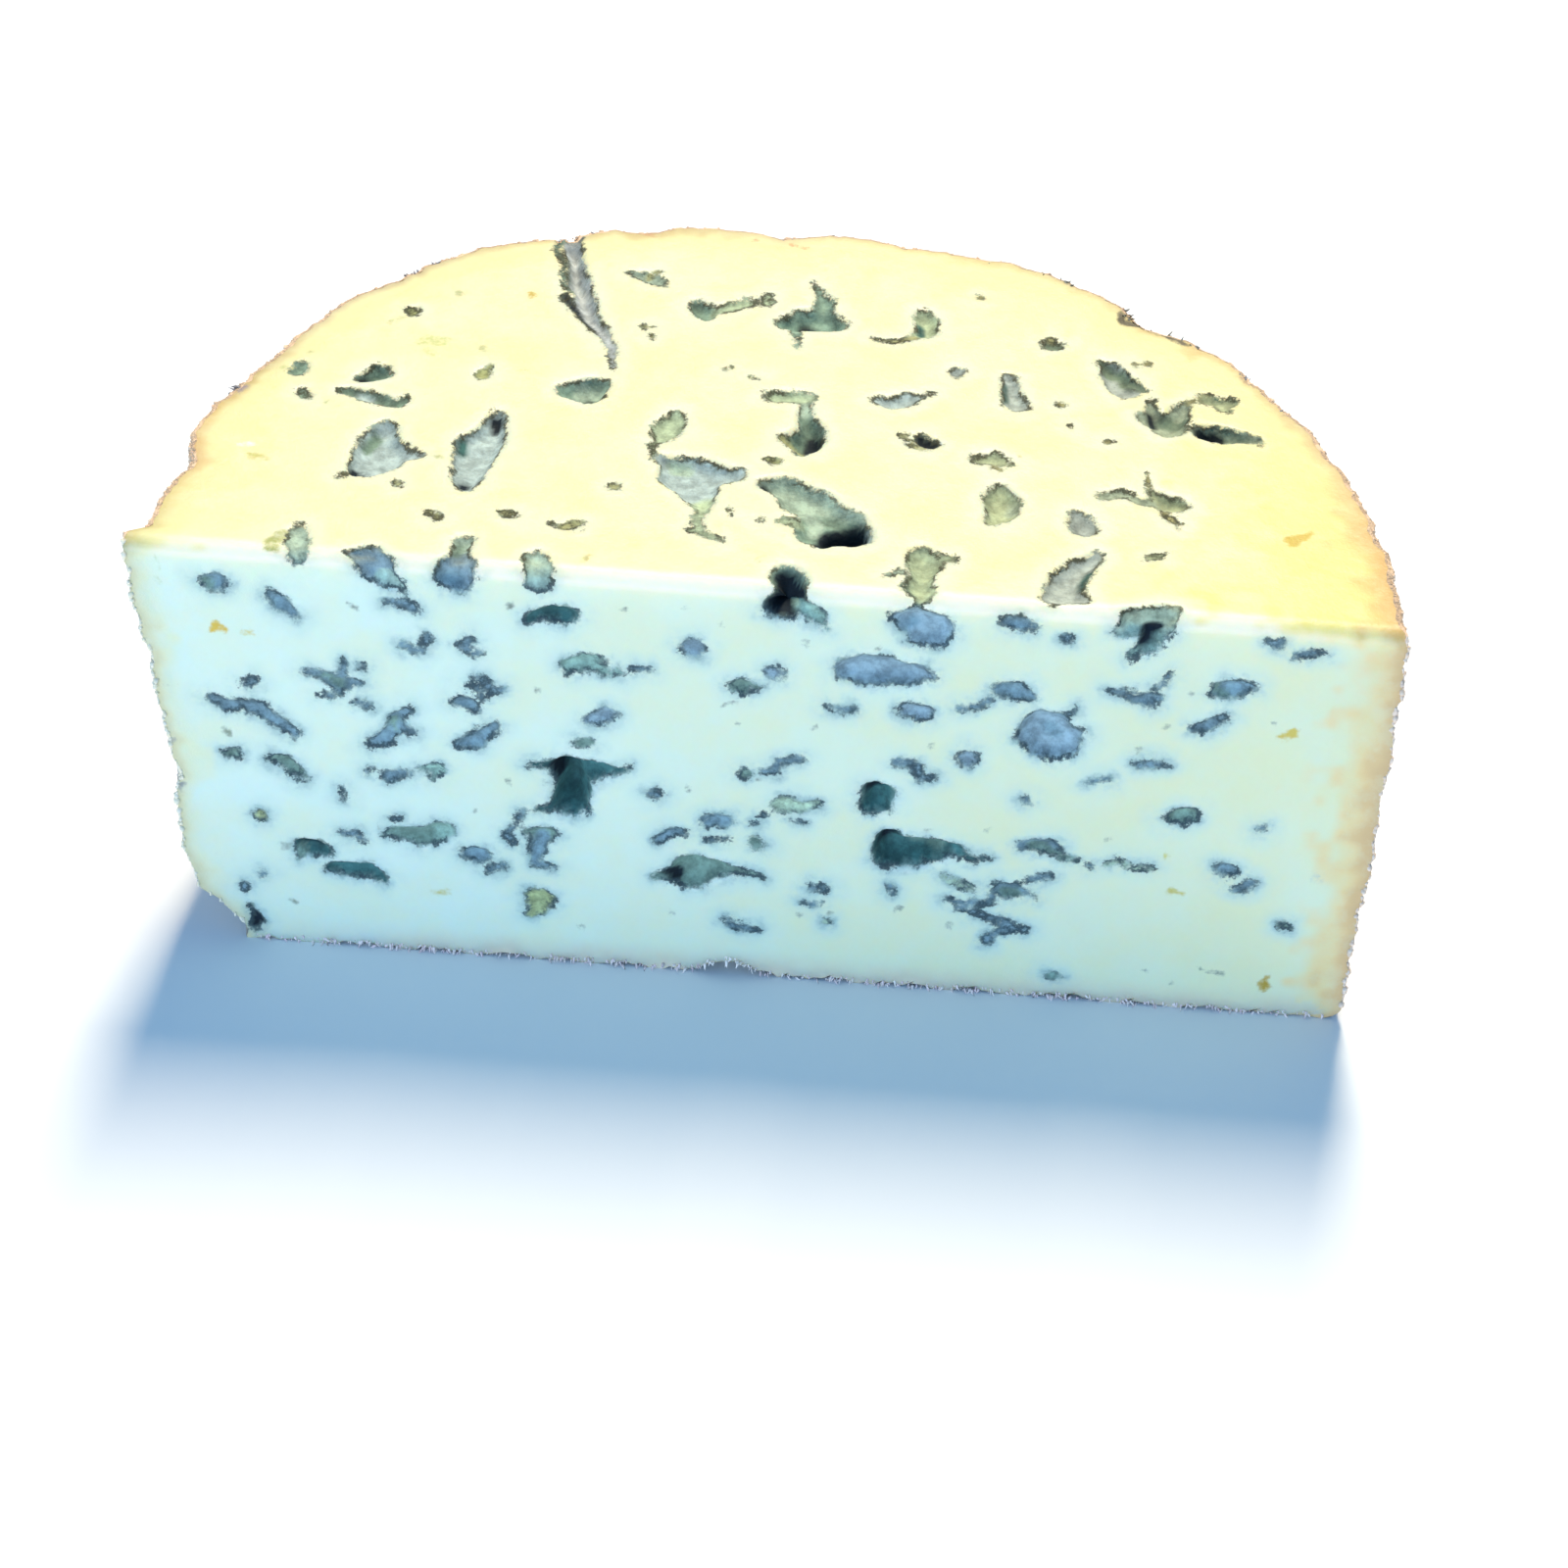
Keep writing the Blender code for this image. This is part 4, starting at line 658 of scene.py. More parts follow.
def pockets_at(x, w):
    """Distance to the nearest pocket's rim, depth and lining colour at points of the sheet.

    The depth runs from 0 at the rim down a steep wall to the stroke's own depth, and
    the deepest stroke wins. Linings are painted one over another, each face's round
    pits last, half way at 0.1 mm outside the rim, and the deepest floors are painted
    black as shade.
    """
    smooth_x, smooth_w = ragged(x, w, 0.0)
    x, w = ragged(x, w, FINE_TEAR)
    rim = np.full(x.shape, RIM_FAR)
    depth = np.zeros(x.shape)
    lining = np.tile(LININGS["slate"], x.shape + (1,))
    for kind, deep, *places in ALL_POCKETS:
        near = close_to(x, w, places, POCKET_REACH)
        gap = stroke(x[near], w[near], places) - POCKET_SPREAD
        rim[near] = np.minimum(rim[near], gap)
        wall_gap = stroke(smooth_x[near], smooth_w[near], places) - POCKET_SPREAD
        wall_width = 0.45 + 0.2 * deep
        depth[near] = np.maximum(depth[near], deep * ease(-wall_gap, 0.0, wall_width))
        cover = np.clip((0.35 - gap) / 0.5, 0.0, 1.0)[..., None]
        lining[near] = lining[near] * (1.0 - cover) + LININGS[kind] * cover
    # Painted shade: the deepest floors go black, as deep holes do in shadow.
    deep_shade = ease(depth, BLACK_FROM, BLACK_AT)[..., None]
    return rim, depth, lining * (1.0 - deep_shade) + LININGS["ink"] * deep_shade


def stains_at(x, w):
    """Colour and strength of the flat stains: half way at a stroke's border, over 0.9 mm in all."""
    x, w = ragged(x, w, FINE_TEAR)
    stain = np.zeros(x.shape + (4,))
    for colour, strength, *places in ALL_STAINS:
        near = close_to(x, w, places, STAIN_REACH)
        cover = strength * np.clip(0.5 - stroke(x[near], w[near], places) / 0.9, 0.0, 1.0)
        over = cover[..., None] > stain[near][..., 3:]
        painted = np.concatenate([np.tile(colour, cover.shape + (1,)), cover[..., None]], axis=-1)
        stain[near] = np.where(over, painted, stain[near])
    return stain


def sheet_point(x, w):
    """Place of a sheet point: up the front below -r, round a quarter circle of radius r, level beyond r."""
    turn = (np.clip(w, -CUT_EDGE_ROUND, CUT_EDGE_ROUND) / CUT_EDGE_ROUND + 1.0) * math.pi / 4.0
    y = np.where(w > CUT_EDGE_ROUND, w, CUT_EDGE_ROUND * (1.0 - np.cos(turn)))
    z = np.where(w < -CUT_EDGE_ROUND, w, CUT_EDGE_ROUND * (np.sin(turn) - 1.0)) + SLAB_HEIGHT
    return np.stack([x, y, z], axis=-1)


def sheet_inward(w):
    """Way into the cheese: straight back on the front, turning near the edge to straight down on top."""
    turn = 0.5 * math.pi * ease(w, -EDGE_BLEND, EDGE_BLEND)
    return np.stack([0.0 * w, np.cos(turn), -np.sin(turn)], axis=-1)


def paste_grid():
    """Sheet places of the grid's columns, left to right, and rows, from the front foot to the back rim.

    Front rows run straight from rind to rind. Top rows start as a Coons patch of the
    cut edge, the two sides and the back of the rim: the blend of the two pairs of
    facing sides less the blend of their four corners. Each pass then moves every point
    inside to the middle of its four neighbours, so that no cell folds over.
    """
    across = np.linspace(0.0, 1.0, COLUMNS + 1)
    drop = np.linspace(-SLAB_HEIGHT, -CUT_EDGE_ROUND, FRONT_ROWS + 1)
    drop = np.concatenate([drop, np.linspace(-CUT_EDGE_ROUND, CUT_EDGE_ROUND, EDGE_ROWS + 1)[1:]])
    level = sheet_point(0.0 * drop, drop)[:, 2]
    left_x, _ = rind_xy(end_angle(level, 180), level)
    right_x, _ = rind_xy(end_angle(level, 0), level)
    x = left_x[:, None] + (right_x - left_x)[:, None] * across
    low_share = np.clip(-drop / SLAB_HEIGHT, 0.0, 1.0)[:, None]
    w = drop[:, None] + foot_lift(x) * low_share**6 + foot_teeth(x[0]) * low_share**24
    up = np.linspace(0.0, 1.0, TOP_ROWS + 1)[1:, None]
    left_end, right_end = end_angle(SLAB_HEIGHT, 180), end_angle(SLAB_HEIGHT, 0)
    left_side = np.stack(rind_xy(left_end + (BACK_LEFT - left_end) * up, SLAB_HEIGHT), axis=-1)
    right_side = np.stack(rind_xy(right_end + (BACK_RIGHT - right_end) * up, SLAB_HEIGHT), axis=-1)
    back = np.stack(rind_xy(BACK_LEFT + (BACK_RIGHT - BACK_LEFT) * across, SLAB_HEIGHT), axis=-1)
    edge = np.stack([x[-1], w[-1]], axis=-1)
    up, across = up[..., None], across[None, :, None]
    corners = (1 - up) * ((1 - across) * edge[0] + across * edge[-1])
    corners = corners + up * ((1 - across) * back[0] + across * back[-1])
    top = (1 - up) * edge[None] + up * back[None]
    top = top + (1 - across) * left_side + across * right_side - corners
    top = np.concatenate([edge[None], top])
    for _ in range(RELAXING_PASSES):
        around = top[2:, 1:-1] + top[:-2, 1:-1] + top[1:-1, 2:] + top[1:-1, :-2]
        top[1:-1, 1:-1] = 0.25 * around
    return np.concatenate([x, top[1:, :, 0]]), np.concatenate([w, top[1:, :, 1]])


def bearing_of(x, w):
    """Angle round the drum's axis in degrees, from -90 to 270, of a place on top."""
    angle = np.degrees(np.arctan2(w - AXIS_BEHIND_CUT, x)) % 360.0
    return np.where(angle > 270.0, angle - 360.0, angle)


def distance_to_rind(x, w):
    """How far a sheet point lies inside the rind: to its two upright ends on the front, to the arc on top."""
    level = np.clip(w, -SLAB_HEIGHT, 0.0) + SLAB_HEIGHT
    left_x, _ = rind_xy(end_angle(level, 180), level)
    right_x, _ = rind_xy(end_angle(level, 0), level)
    beside = np.minimum(x - left_x, right_x - x)
    around = rind_radius(bearing_of(x, w), SLAB_HEIGHT) - np.hypot(x, w - AXIS_BEHIND_CUT)
    return np.where(w > CUT_EDGE_ROUND, around, beside)


def snap_to_rims(x, w, inside):
    """Slides points less than half a grid step from a rim onto it: against the slope, by the distance.

    The slope is the change of distance over a tenth of a millimetre. Points within
    0.6 mm of the rind stay where they are.
    """
    probe = 0.1
    rim, _, _ = pockets_at(x, w)
    slope_x = (pockets_at(x + probe, w)[0] - rim) / probe
    slope_w = (pockets_at(x, w + probe)[0] - rim) / probe
    steep = np.maximum(np.hypot(slope_x, slope_w), 0.3)
    move = np.where((np.abs(rim) < 0.5 * GRID_STEP) & (inside > 0.6), rim, 0.0) / steep**2
    move = np.clip(move, -0.45 * GRID_STEP, 0.45 * GRID_STEP)
    return x - move * slope_x, w - move * slope_w


def softened(values):
    """Values blurred twice, weights 1, 2, 1 both ways over 16, so that walls slope; the border stays."""
    values = values.copy()
    for _ in range(2):
        rows = values[:-2] + 2.0 * values[1:-1] + values[2:]
        values[1:-1, 1:-1] = (rows[:, :-2] + 2.0 * rows[:, 1:-1] + rows[:, 2:]) / 16.0
    return values


def grid_faces(rows, columns):
    """Corner numbers of every cell of a grid of points, row after row, facing as columns x rows turn."""
    first = (np.arange(rows)[:, None] * (columns + 1) + np.arange(columns)).ravel()
    return np.stack([first, first + 1, first + columns + 2, first + columns + 1], axis=1)


def sheet_object(name, points, faces):
    """A smooth-shaded mesh from points in the working frame, shifted to the part's frame in metres."""
    mesh = bpy.data.meshes.new(name)
    mesh.vertices.add(len(points))
    mesh.vertices.foreach_set("co", ((points + SHIFT) * MM).ravel())
    mesh.loops.add(faces.size)
    mesh.loops.foreach_set("vertex_index", faces.ravel())
    mesh.polygons.add(len(faces))
    mesh.polygons.foreach_set("loop_start", np.arange(len(faces)) * faces.shape[1])
    mesh.update(calc_edges=True)
    mesh.shade_smooth()
    made = bpy.data.objects.new(name, mesh)
    bpy.context.scene.collection.objects.link(made)
    return made


def with_strength(colours, strength):
    """Colours with one more column, the strength that they are painted with."""
    return np.concatenate([colours, np.broadcast_to(strength, colours.shape[:-1])[..., None]], axis=-1)


def point_value(made, name, values):
    """Stores one number, or one colour with its strength, for each point of a piece."""
    is_colour = values.shape[-1] == 4
    kind, field = ("FLOAT_COLOR", "color") if is_colour else ("FLOAT", "value")
    made.data.attributes.new(name, kind, "POINT").data.foreach_set(field, values.ravel())


grid_x, grid_w = paste_grid()
inside = distance_to_rind(grid_x, grid_w)
grid_x, grid_w = snap_to_rims(grid_x, grid_w, inside)
rim, depth, lining = pockets_at(grid_x, grid_w)
depth = softened(depth)
rim = rim - WALL_COVER * ease(depth, 0.15, 0.8)
above_foot = grid_w + SLAB_HEIGHT
off_the_border = ease(inside, 0.0, 2.5) * np.clip(above_foot / 2.0, 0.0, 1.0)
uneven = relief(grid_x, grid_w, FACE_RELIEF) * off_the_border
sink = depth + depth * relief(grid_x, grid_w, FLOOR_RELIEF) + uneven
paste_points = sheet_point(grid_x, grid_w) + sink[..., None] * sheet_inward(grid_w)
paste = sheet_object("paste", paste_points.reshape(-1, 3), grid_faces(grid_x.shape[0] - 1, COLUMNS))
on_top = ease(grid_w, -2.6, 0.4)
# Where a painted highlight of near white lies along the rounded cut edge, for the light that the edge
# catches.
crest_highlight = 0.85 * ease(grid_w, -2.0, -0.5) * (1.0 - ease(grid_w, 0.4, 2.3))
point_value(paste, "rim", rim)
point_value(paste, "on_top", on_top)
point_value(paste, "crest_highlight", crest_highlight)
point_value(paste, "lining", with_strength(lining, 1.0))
point_value(paste, "stain", stains_at(grid_x, grid_w))

# The crust shows at the cut faces' borders, as an outer and an inner band that change
# round the rim: bearing in degrees, the widths of both bands, and both colours.
BORDER_STOPS = (
    (-8.0, 2.6, 17.0, linear(221, 180, 105), linear(232, 218, 130)),
    (8.0, 2.5, 18.0, linear(220, 173, 97), linear(232, 219, 132)),
    (20.0, 1.9, 17.0, linear(223, 190, 122), linear(233, 220, 138)),
    (28.0, 1.3, 15.0, linear(218, 187, 126), linear(235, 222, 146)),
    (36.0, 1.0, 13.0, linear(222, 198, 130), linear(236, 222, 156)),
    (46.0, 1.0, 11.0, linear(219, 185, 113), linear(236, 222, 156)),
    (58.0, 0.9, 6.0, linear(221, 198, 132), linear(236, 222, 158)),
    (75.0, 0.8, 7.0, linear(222, 200, 131), linear(236, 224, 160)),
    (94.0, 0.9, 7.0, linear(224, 204, 147), linear(236, 224, 160)),
    (106.0, 1.2, 5.0, linear(211, 182, 120), linear(236, 224, 160)),
    (118.0, 0.8, 8.0, linear(222, 200, 136), linear(236, 224, 160)),
    (130.0, 0.9, 6.0, linear(204, 180, 128), linear(236, 224, 160)),
    (142.0, 0.8, 6.0, linear(218, 200, 150), linear(236, 224, 160)),
    (156.0, 1.0, 6.0, linear(199, 170, 104), linear(236, 222, 156)),
    (163.0, 1.0, 7.0, linear(223, 188, 116), linear(236, 222, 156)),
    (169.0, 1.2, 6.0, linear(217, 179, 117), linear(236, 222, 156)),
    (176.0, 1.4, 6.0, linear(223, 202, 130), linear(236, 222, 156)),
    (188.0, 1.0, 6.0, linear(201, 181, 112), linear(234, 220, 150)),
)
SIDE_RIGHT = (1.7, 5.4, linear(216, 178, 126), linear(237, 207, 146))
SIDE_LEFT = (0.9, 3.0, linear(214, 204, 158), linear(230, 228, 184))
HEM_COLOUR = linear(222, 206, 176)


def banded(reach, outer, inner, outer_colour, inner_colour):
    """Colour and strength of the border this far inside the rind: outer band, then inner, then none."""
    outer_share = (1.0 - ease(reach, 0.0, 1.7 * outer))[..., None]
    colour = inner_colour + (outer_colour - inner_colour) * outer_share
    return with_strength(colour, 1.0 - ease(reach, 0.1 * inner, 1.2 * inner))


def between_stops(bearing):
    """Both widths and both colours of the rim's border at each bearing, in straight lines between stops."""
    stops = np.array([(at, outer, inner, *near, *far) for at, outer, inner, near, far in BORDER_STOPS])
    outer, inner, *tones = (np.interp(bearing, stops[:, 0], column) for column in stops[:, 1:].T)
    return outer, inner, np.stack(tones[:3], axis=-1), np.stack(tones[3:], axis=-1)


frayed = inside * (1.0 + relief(grid_x, grid_w, BORDER_FRAY))
top_border = banded(frayed, *between_stops(bearing_of(grid_x, grid_w)))
on_the_right = grid_x[..., None] > 0.0
side_border = np.where(on_the_right, banded(frayed, *SIDE_RIGHT), banded(frayed, *SIDE_LEFT))
hem_strength = 0.8 * (1.0 - ease(above_foot, 0.2, 4.0)) * ease(grid_x, -58.0, -30.0)
hem_strength = hem_strength * (1.0 + relief(grid_x, grid_w, HEM_FRAY))
hem = with_strength(np.broadcast_to(HEM_COLOUR, side_border[..., :3].shape), hem_strength)
side_border = np.where(hem[..., 3:] > side_border[..., 3:], hem, side_border)
point_value(paste, "border", side_border + (top_border - side_border) * on_top[..., None])


def new_group(name, inputs, outputs):
    """An empty shader group with the given number and place sockets, and its two end nodes."""
    group = bpy.data.node_groups.new(name, "ShaderNodeTree")
    for label, kind, start in inputs:
        socket = group.interface.new_socket(label, in_out="INPUT", socket_type=kind)
        if start is not None:
            socket.default_value = start
    for label in outputs:
        group.interface.new_socket(label, in_out="OUTPUT", socket_type="NodeSocketFloat")
    return group, group.nodes.new("NodeGroupInput"), group.nodes.new("NodeGroupOutput")


def noise_node(tree, place, scale, detail, roughness):
    """A noise texture read at a place socket."""
    made = tree.nodes.new("ShaderNodeTexNoise")
    made.inputs["Scale"].default_value = scale
    made.inputs["Detail"].default_value = detail
    made.inputs["Roughness"].default_value = roughness
    tree.links.new(place, made.inputs["Vector"])
    return made.outputs["Fac"]


def stretch(tree, value, low_in, high_in, low_out=0.0, high_out=1.0):
    """A value eased from one pair of limits to another."""
    made = tree.nodes.new("ShaderNodeMapRange")
    made.interpolation_type = "SMOOTHSTEP"
    made.inputs["From Min"].default_value = low_in
    made.inputs["From Max"].default_value = high_in
    made.inputs["To Min"].default_value = low_out
    made.inputs["To Max"].default_value = high_out
    tree.links.new(value, made.inputs["Value"])
    return made.outputs["Result"]


def join(tree, socket, value):
    """Gives a socket another socket's output, a number or a plain colour."""
    if isinstance(value, bpy.types.NodeSocket):
        tree.links.new(value, socket)
    elif isinstance(value, (int, float)):
        socket.default_value = value
    else:
        socket.default_value = (*value, 1.0)


def math_node(tree, kind, first, second):
    """One math node of two sockets or numbers."""
    made = tree.nodes.new("ShaderNodeMath")
    made.operation = kind
    join(tree, made.inputs[0], first)
    join(tree, made.inputs[1], second)
    return made.outputs["Value"]


def times(tree, first, second):
    """Product of two sockets or numbers."""
    return math_node(tree, "MULTIPLY", first, second)


def plus(tree, first, second):
    """Sum of two sockets or numbers."""
    return math_node(tree, "ADD", first, second)


def blend_colours(tree, share, first, second, way="MIX"):
    """A colour mix of two sockets or plain colours by a share."""
    made = tree.nodes.new("ShaderNodeMix")
    made.data_type = "RGBA"
    made.blend_type = way
    join(tree, made.inputs[0], share)
    join(tree, made.inputs[6], first)
    join(tree, made.inputs[7], second)
    return made.outputs[2]


def attribute_node(tree, name):
    """The outputs of one of the piece's own stored values: Fac, Color and Alpha."""
    made = tree.nodes.new("ShaderNodeAttribute")
    made.attribute_name = name
    return made.outputs


def split_node(tree, place):
    """The three parts of a place socket."""
    made = tree.nodes.new("ShaderNodeSeparateXYZ")
    tree.links.new(place, made.inputs["Vector"])
    return made.outputs


def new_material(name):
    """A new material with the usual Principled shader, and its node tree."""
    material = bpy.data.materials.new(name)
    material.use_nodes = True
    return material, material.node_tree


def principled(tree, roughness, colour, bump_height, bump_strength, bump_distance):
    """Joins a colour, a roughness and a bump height to the tree's Principled shader."""
    shader = tree.nodes["Principled BSDF"]
    tree.links.new(colour, shader.inputs["Base Color"])
    tree.links.new(roughness, shader.inputs["Roughness"])
    bump = tree.nodes.new("ShaderNodeBump")
    bump.inputs["Strength"].default_value = bump_strength
    bump.inputs["Distance"].default_value = bump_distance
    tree.links.new(bump_height, bump.inputs["Height"])
    tree.links.new(bump.outputs["Normal"], shader.inputs["Normal"])
    return shader


# Noises: waves a metre, detail and roughness. The first three are the mottling that all
# pieces share: clouds, a grain and fine crumbs. The others tear and streak the paste.
CLOUD_NOISE, GRAIN_NOISE, CRUMB_NOISE = (90.0, 4.0, 0.6), (900.0, 4.0, 0.6), (2400.0, 3.0, 0.6)
TORN_NOISE, FINE_NOISE, BREAK_NOISE = (1150.0, 3.0, 0.65), (3600.0, 2.0, 0.6), (480.0, 3.0, 0.65)
DRIFT_NOISE, STREAK_NOISE = (330.0, 4.0, 0.65), (700.0, 4.0, 0.65)


def mottle_group():
    """Cloudy and fine mottling of a dairy surface: noises of the place, as two masks and a height.

    The height is 0.7 of the grain plus 0.3 of the crumbs.
    """
    group, start, end = new_group(
        "dairy mottle",
        (("Place", "NodeSocketVector", None), ("Cloud Scale", "NodeSocketFloat", CLOUD_NOISE[0])),
        ("Cloud", "Grain", "Height"),
    )
    place = start.outputs["Place"]
    cloud = noise_node(group, place, *CLOUD_NOISE)
    group.links.new(start.outputs["Cloud Scale"], cloud.node.inputs["Scale"])
    grain = noise_node(group, place, *GRAIN_NOISE)
    crumb = noise_node(group, place, *CRUMB_NOISE)
    height = plus(group, times(group, grain, 0.7), times(group, crumb, 0.3))
    group.links.new(stretch(group, cloud, 0.3, 0.7), end.inputs["Cloud"])
    group.links.new(stretch(group, grain, 0.3, 0.7), end.inputs["Grain"])
    group.links.new(height, end.inputs["Height"])
    return group


MOTTLE = mottle_group()

# Colours of the paste by face, and of what borders each pocket: a halo, smoke and a dark line, partly the
# mould's edge and partly painted shade on the pocket's wall.
# The tints multiply the linings' own colours.
TOP_CREAM, TOP_YELLOW = linear(236, 228, 182), linear(236, 226, 160)
LEFT_CREAM, LEFT_PALE = linear(224, 230, 200), linear(219, 232, 214)
RIGHT_CREAM, RIGHT_PALE = linear(226, 226, 184), linear(222, 228, 197)
# A painted highlight: near white laid along the rounded cut edge, where it catches the light.
EDGE_HIGHLIGHT = linear(255, 240, 216)
FRONT_TINT, TOP_TINT, RIGHT_TINT = (1.20, 1.24, 1.15), (1.15, 1.09, 0.90), (0.94, 0.85, 0.77)
LINE_FRONT, LINE_TOP = linear(44, 62, 68), linear(60, 58, 34)
HALO_FRONT, HALO_TOP = linear(204, 220, 204), linear(226, 226, 194)
SMOKE_FRONT, SMOKE_TOP = linear(148, 174, 168), linear(200, 200, 162)

# Distances outside a rim, in millimetres, where each of them is nothing and where full.
HALO_BAND, SMOKE_BAND = (2.8, 0.2), (1.3, 0.0)
LINE_OUTSIDE, LINE_INSIDE = (0.4, 0.05), (-0.6, -0.1)
CRISP_RIM, SOFT_RIM = (0.24, -0.14), (0.42, -0.30)

# Light spreads inside cheese: how far each colour goes, as shares of a scale in metres.
SPREAD_SHARES, SPREAD_SCALE = (1.0, 0.72, 0.5), 0.007


def mottled(tree, cloud_scale):
    """The shared mottling, read at the piece's own place."""
    place = tree.nodes.new("ShaderNodeTexCoord")
    made = tree.nodes.new("ShaderNodeGroup")
    made.node_tree = MOTTLE
    made.inputs["Cloud Scale"].default_value = cloud_scale
    tree.links.new(place.outputs["Object"], made.inputs["Place"])
    return made.outputs, place.outputs["Object"]


def cream_colour(tree, clouds, rightness, top_share):
    """Bare paste: the front from left to right, the top yellower to the right, and a painted highlight along
    the rounded edge.
    """
    left_cream = blend_colours(tree, clouds, LEFT_CREAM, LEFT_PALE)
    right_cream = blend_colours(tree, clouds, RIGHT_CREAM, RIGHT_PALE)
    front_cream = blend_colours(tree, stretch(tree, rightness, -0.05, 0.05), left_cream, right_cream)
    yellower = plus(tree, times(tree, clouds, 0.7), stretch(tree, rightness, 0.01, 0.07, 0.0, 0.6))
    top_cream = blend_colours(tree, yellower, TOP_CREAM, TOP_YELLOW)
    cream = blend_colours(tree, top_share, front_cream, top_cream)
    return blend_colours(tree, attribute_node(tree, "crest_highlight")["Fac"], cream, EDGE_HIGHLIGHT)


def mould_colour(tree, rightness, top_share, gap, streaks, drift):
    """Mould in a pocket: its own lining times its face's tint, times streaks and drift, with painted light
    making it lighter far in, where the floor is lit.
    """
    face_tint = blend_colours(tree, top_share, FRONT_TINT, TOP_TINT)
    lining = attribute_node(tree, "lining")["Color"]
    colour = blend_colours(tree, 1.0, lining, face_tint, "MULTIPLY")
    top_right = times(tree, top_share, stretch(tree, rightness, 0.005, 0.03))
    colour = blend_colours(tree, top_right, colour, RIGHT_TINT, "MULTIPLY")
    light = stretch(tree, streaks, 0.32, 0.68, 0.6, 1.22)
    # Painted light: up to a quarter lighter far inside the rim, where the pocket's floor catches the light.
    light = plus(tree, light, stretch(tree, gap, -0.3, -1.4, 0.0, 0.24))
    light = times(tree, light, stretch(tree, drift, 0.3, 0.7, 0.84, 1.16))
    shaded = tree.nodes.new("ShaderNodeVectorMath")
    shaded.operation = "SCALE"
    tree.links.new(colour, shaded.inputs[0])
    tree.links.new(light, shaded.inputs["Scale"])
    return shaded.outputs[0]


def paste_material():
    """Cream paste, and over it in turn: halo, the crust's border, stains, smoke, mould with painted light on
    its floors, and a rim line that is partly painted shade.
    """
    material, tree = new_material("cream paste and mould")
    mottle, place = mottled(tree, 130.0)
    rightness = split_node(tree, place)["X"]
    top_share = attribute_node(tree, "on_top")["Fac"]
    front_share = math_node(tree, "SUBTRACT", 1.0, top_share)
    drift = noise_node(tree, place, *DRIFT_NOISE)
    streaks = noise_node(tree, place, *STREAK_NOISE)

    # Distance outside the nearest rim: smooth, then torn by up to 0.3 and 0.12 mm more.
    rim_gap = attribute_node(tree, "rim")["Fac"]
    torn = stretch(tree, noise_node(tree, place, *TORN_NOISE), 0.25, 0.75, -0.30, 0.30)
    frayed_gap = plus(tree, rim_gap, torn)
    fine = stretch(tree, noise_node(tree, place, *FINE_NOISE), 0.3, 0.7, -0.12, 0.12)
    gap = plus(tree, frayed_gap, fine)

    def by_face(front_colour, top_colour):
        """One colour on the front cut and another on the top."""
        return blend_colours(tree, top_share, front_colour, top_colour)

    colour = cream_colour(tree, mottle["Cloud"], rightness, top_share)
    halo = times(tree, stretch(tree, rim_gap, *HALO_BAND), stretch(tree, drift, 0.3, 0.6, 0.2, 0.9))
    colour = blend_colours(tree, halo, colour, by_face(HALO_FRONT, HALO_TOP))

    border = attribute_node(tree, "border")
    border_share = times(tree, border["Alpha"], stretch(tree, drift, 0.3, 0.65, 0.75, 1.1))
    colour = blend_colours(tree, border_share, colour, border["Color"])

    stain = attribute_node(tree, "stain")
    stained = plus(tree, stain["Alpha"], times(tree, torn, 0.8))
    colour = blend_colours(tree, stretch(tree, stained, 0.26, 0.95), colour, stain["Color"])

    smoke = stretch(tree, frayed_gap, *SMOKE_BAND)
    smoke = times(tree, smoke, stretch(tree, drift, 0.35, 0.65, 0.1, 0.9))
    smoke = times(tree, smoke, stretch(tree, top_share, 0.0, 1.0, 0.8, 0.35))
    colour = blend_colours(tree, smoke, colour, by_face(SMOKE_FRONT, SMOKE_TOP))

    crisp = times(tree, top_share, stretch(tree, gap, *CRISP_RIM))
    soft = times(tree, front_share, stretch(tree, gap, *SOFT_RIM))
    open_share = plus(tree, crisp, soft)
    mould = mould_colour(tree, rightness, top_share, gap, streaks, drift)
    colour = blend_colours(tree, open_share, colour, mould)

    # The dark rim line: partly the mould's own dark edge, partly painted shade where the wall drops into the
    # pocket.
    line = times(tree, stretch(tree, gap, *LINE_OUTSIDE), stretch(tree, gap, *LINE_INSIDE))
    broken = stretch(tree, noise_node(tree, place, *BREAK_NOISE), 0.38, 0.6, 0.1, 0.9)
    line = times(tree, line, broken)
    colour = blend_colours(tree, line, colour, by_face(LINE_FRONT, LINE_TOP))

    # Mould is rough and fuzzy. Light spreads in bare paste, less in the rind's border.
    roughness = stretch(tree, open_share, 0.0, 1.0, 0.42, 0.85)
    height = plus(tree, times(tree, mottle["Height"], 0.5), times(tree, streaks, open_share))
    shader = principled(tree, roughness, colour, height, 0.6, 0.0003)
    in_the_open = stretch(tree, open_share, 0.0, 1.0, 0.9, 0.1)
    off_the_rind = stretch(tree, border["Alpha"], 0.7, 1.0, 1.0, 0.25)
    tree.links.new(times(tree, in_the_open, off_the_rind), shader.inputs["Subsurface Weight"])
    shader.inputs["Subsurface Radius"].default_value = SPREAD_SHARES
    shader.inputs["Subsurface Scale"].default_value = SPREAD_SCALE
    shader.inputs["Specular IOR Level"].default_value = 0.4
    return material


paste.data.materials.append(paste_material())
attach(paste, "root")
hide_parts("cheese")

# The rind: a thin dry crust of grey-beige mould, pinkish and dusty, round the back and
# under the foot. It is made as one sheet of columns round the drum and rows from under
# the rim, down the side, round the foot and in beneath to the foot of the front cut.

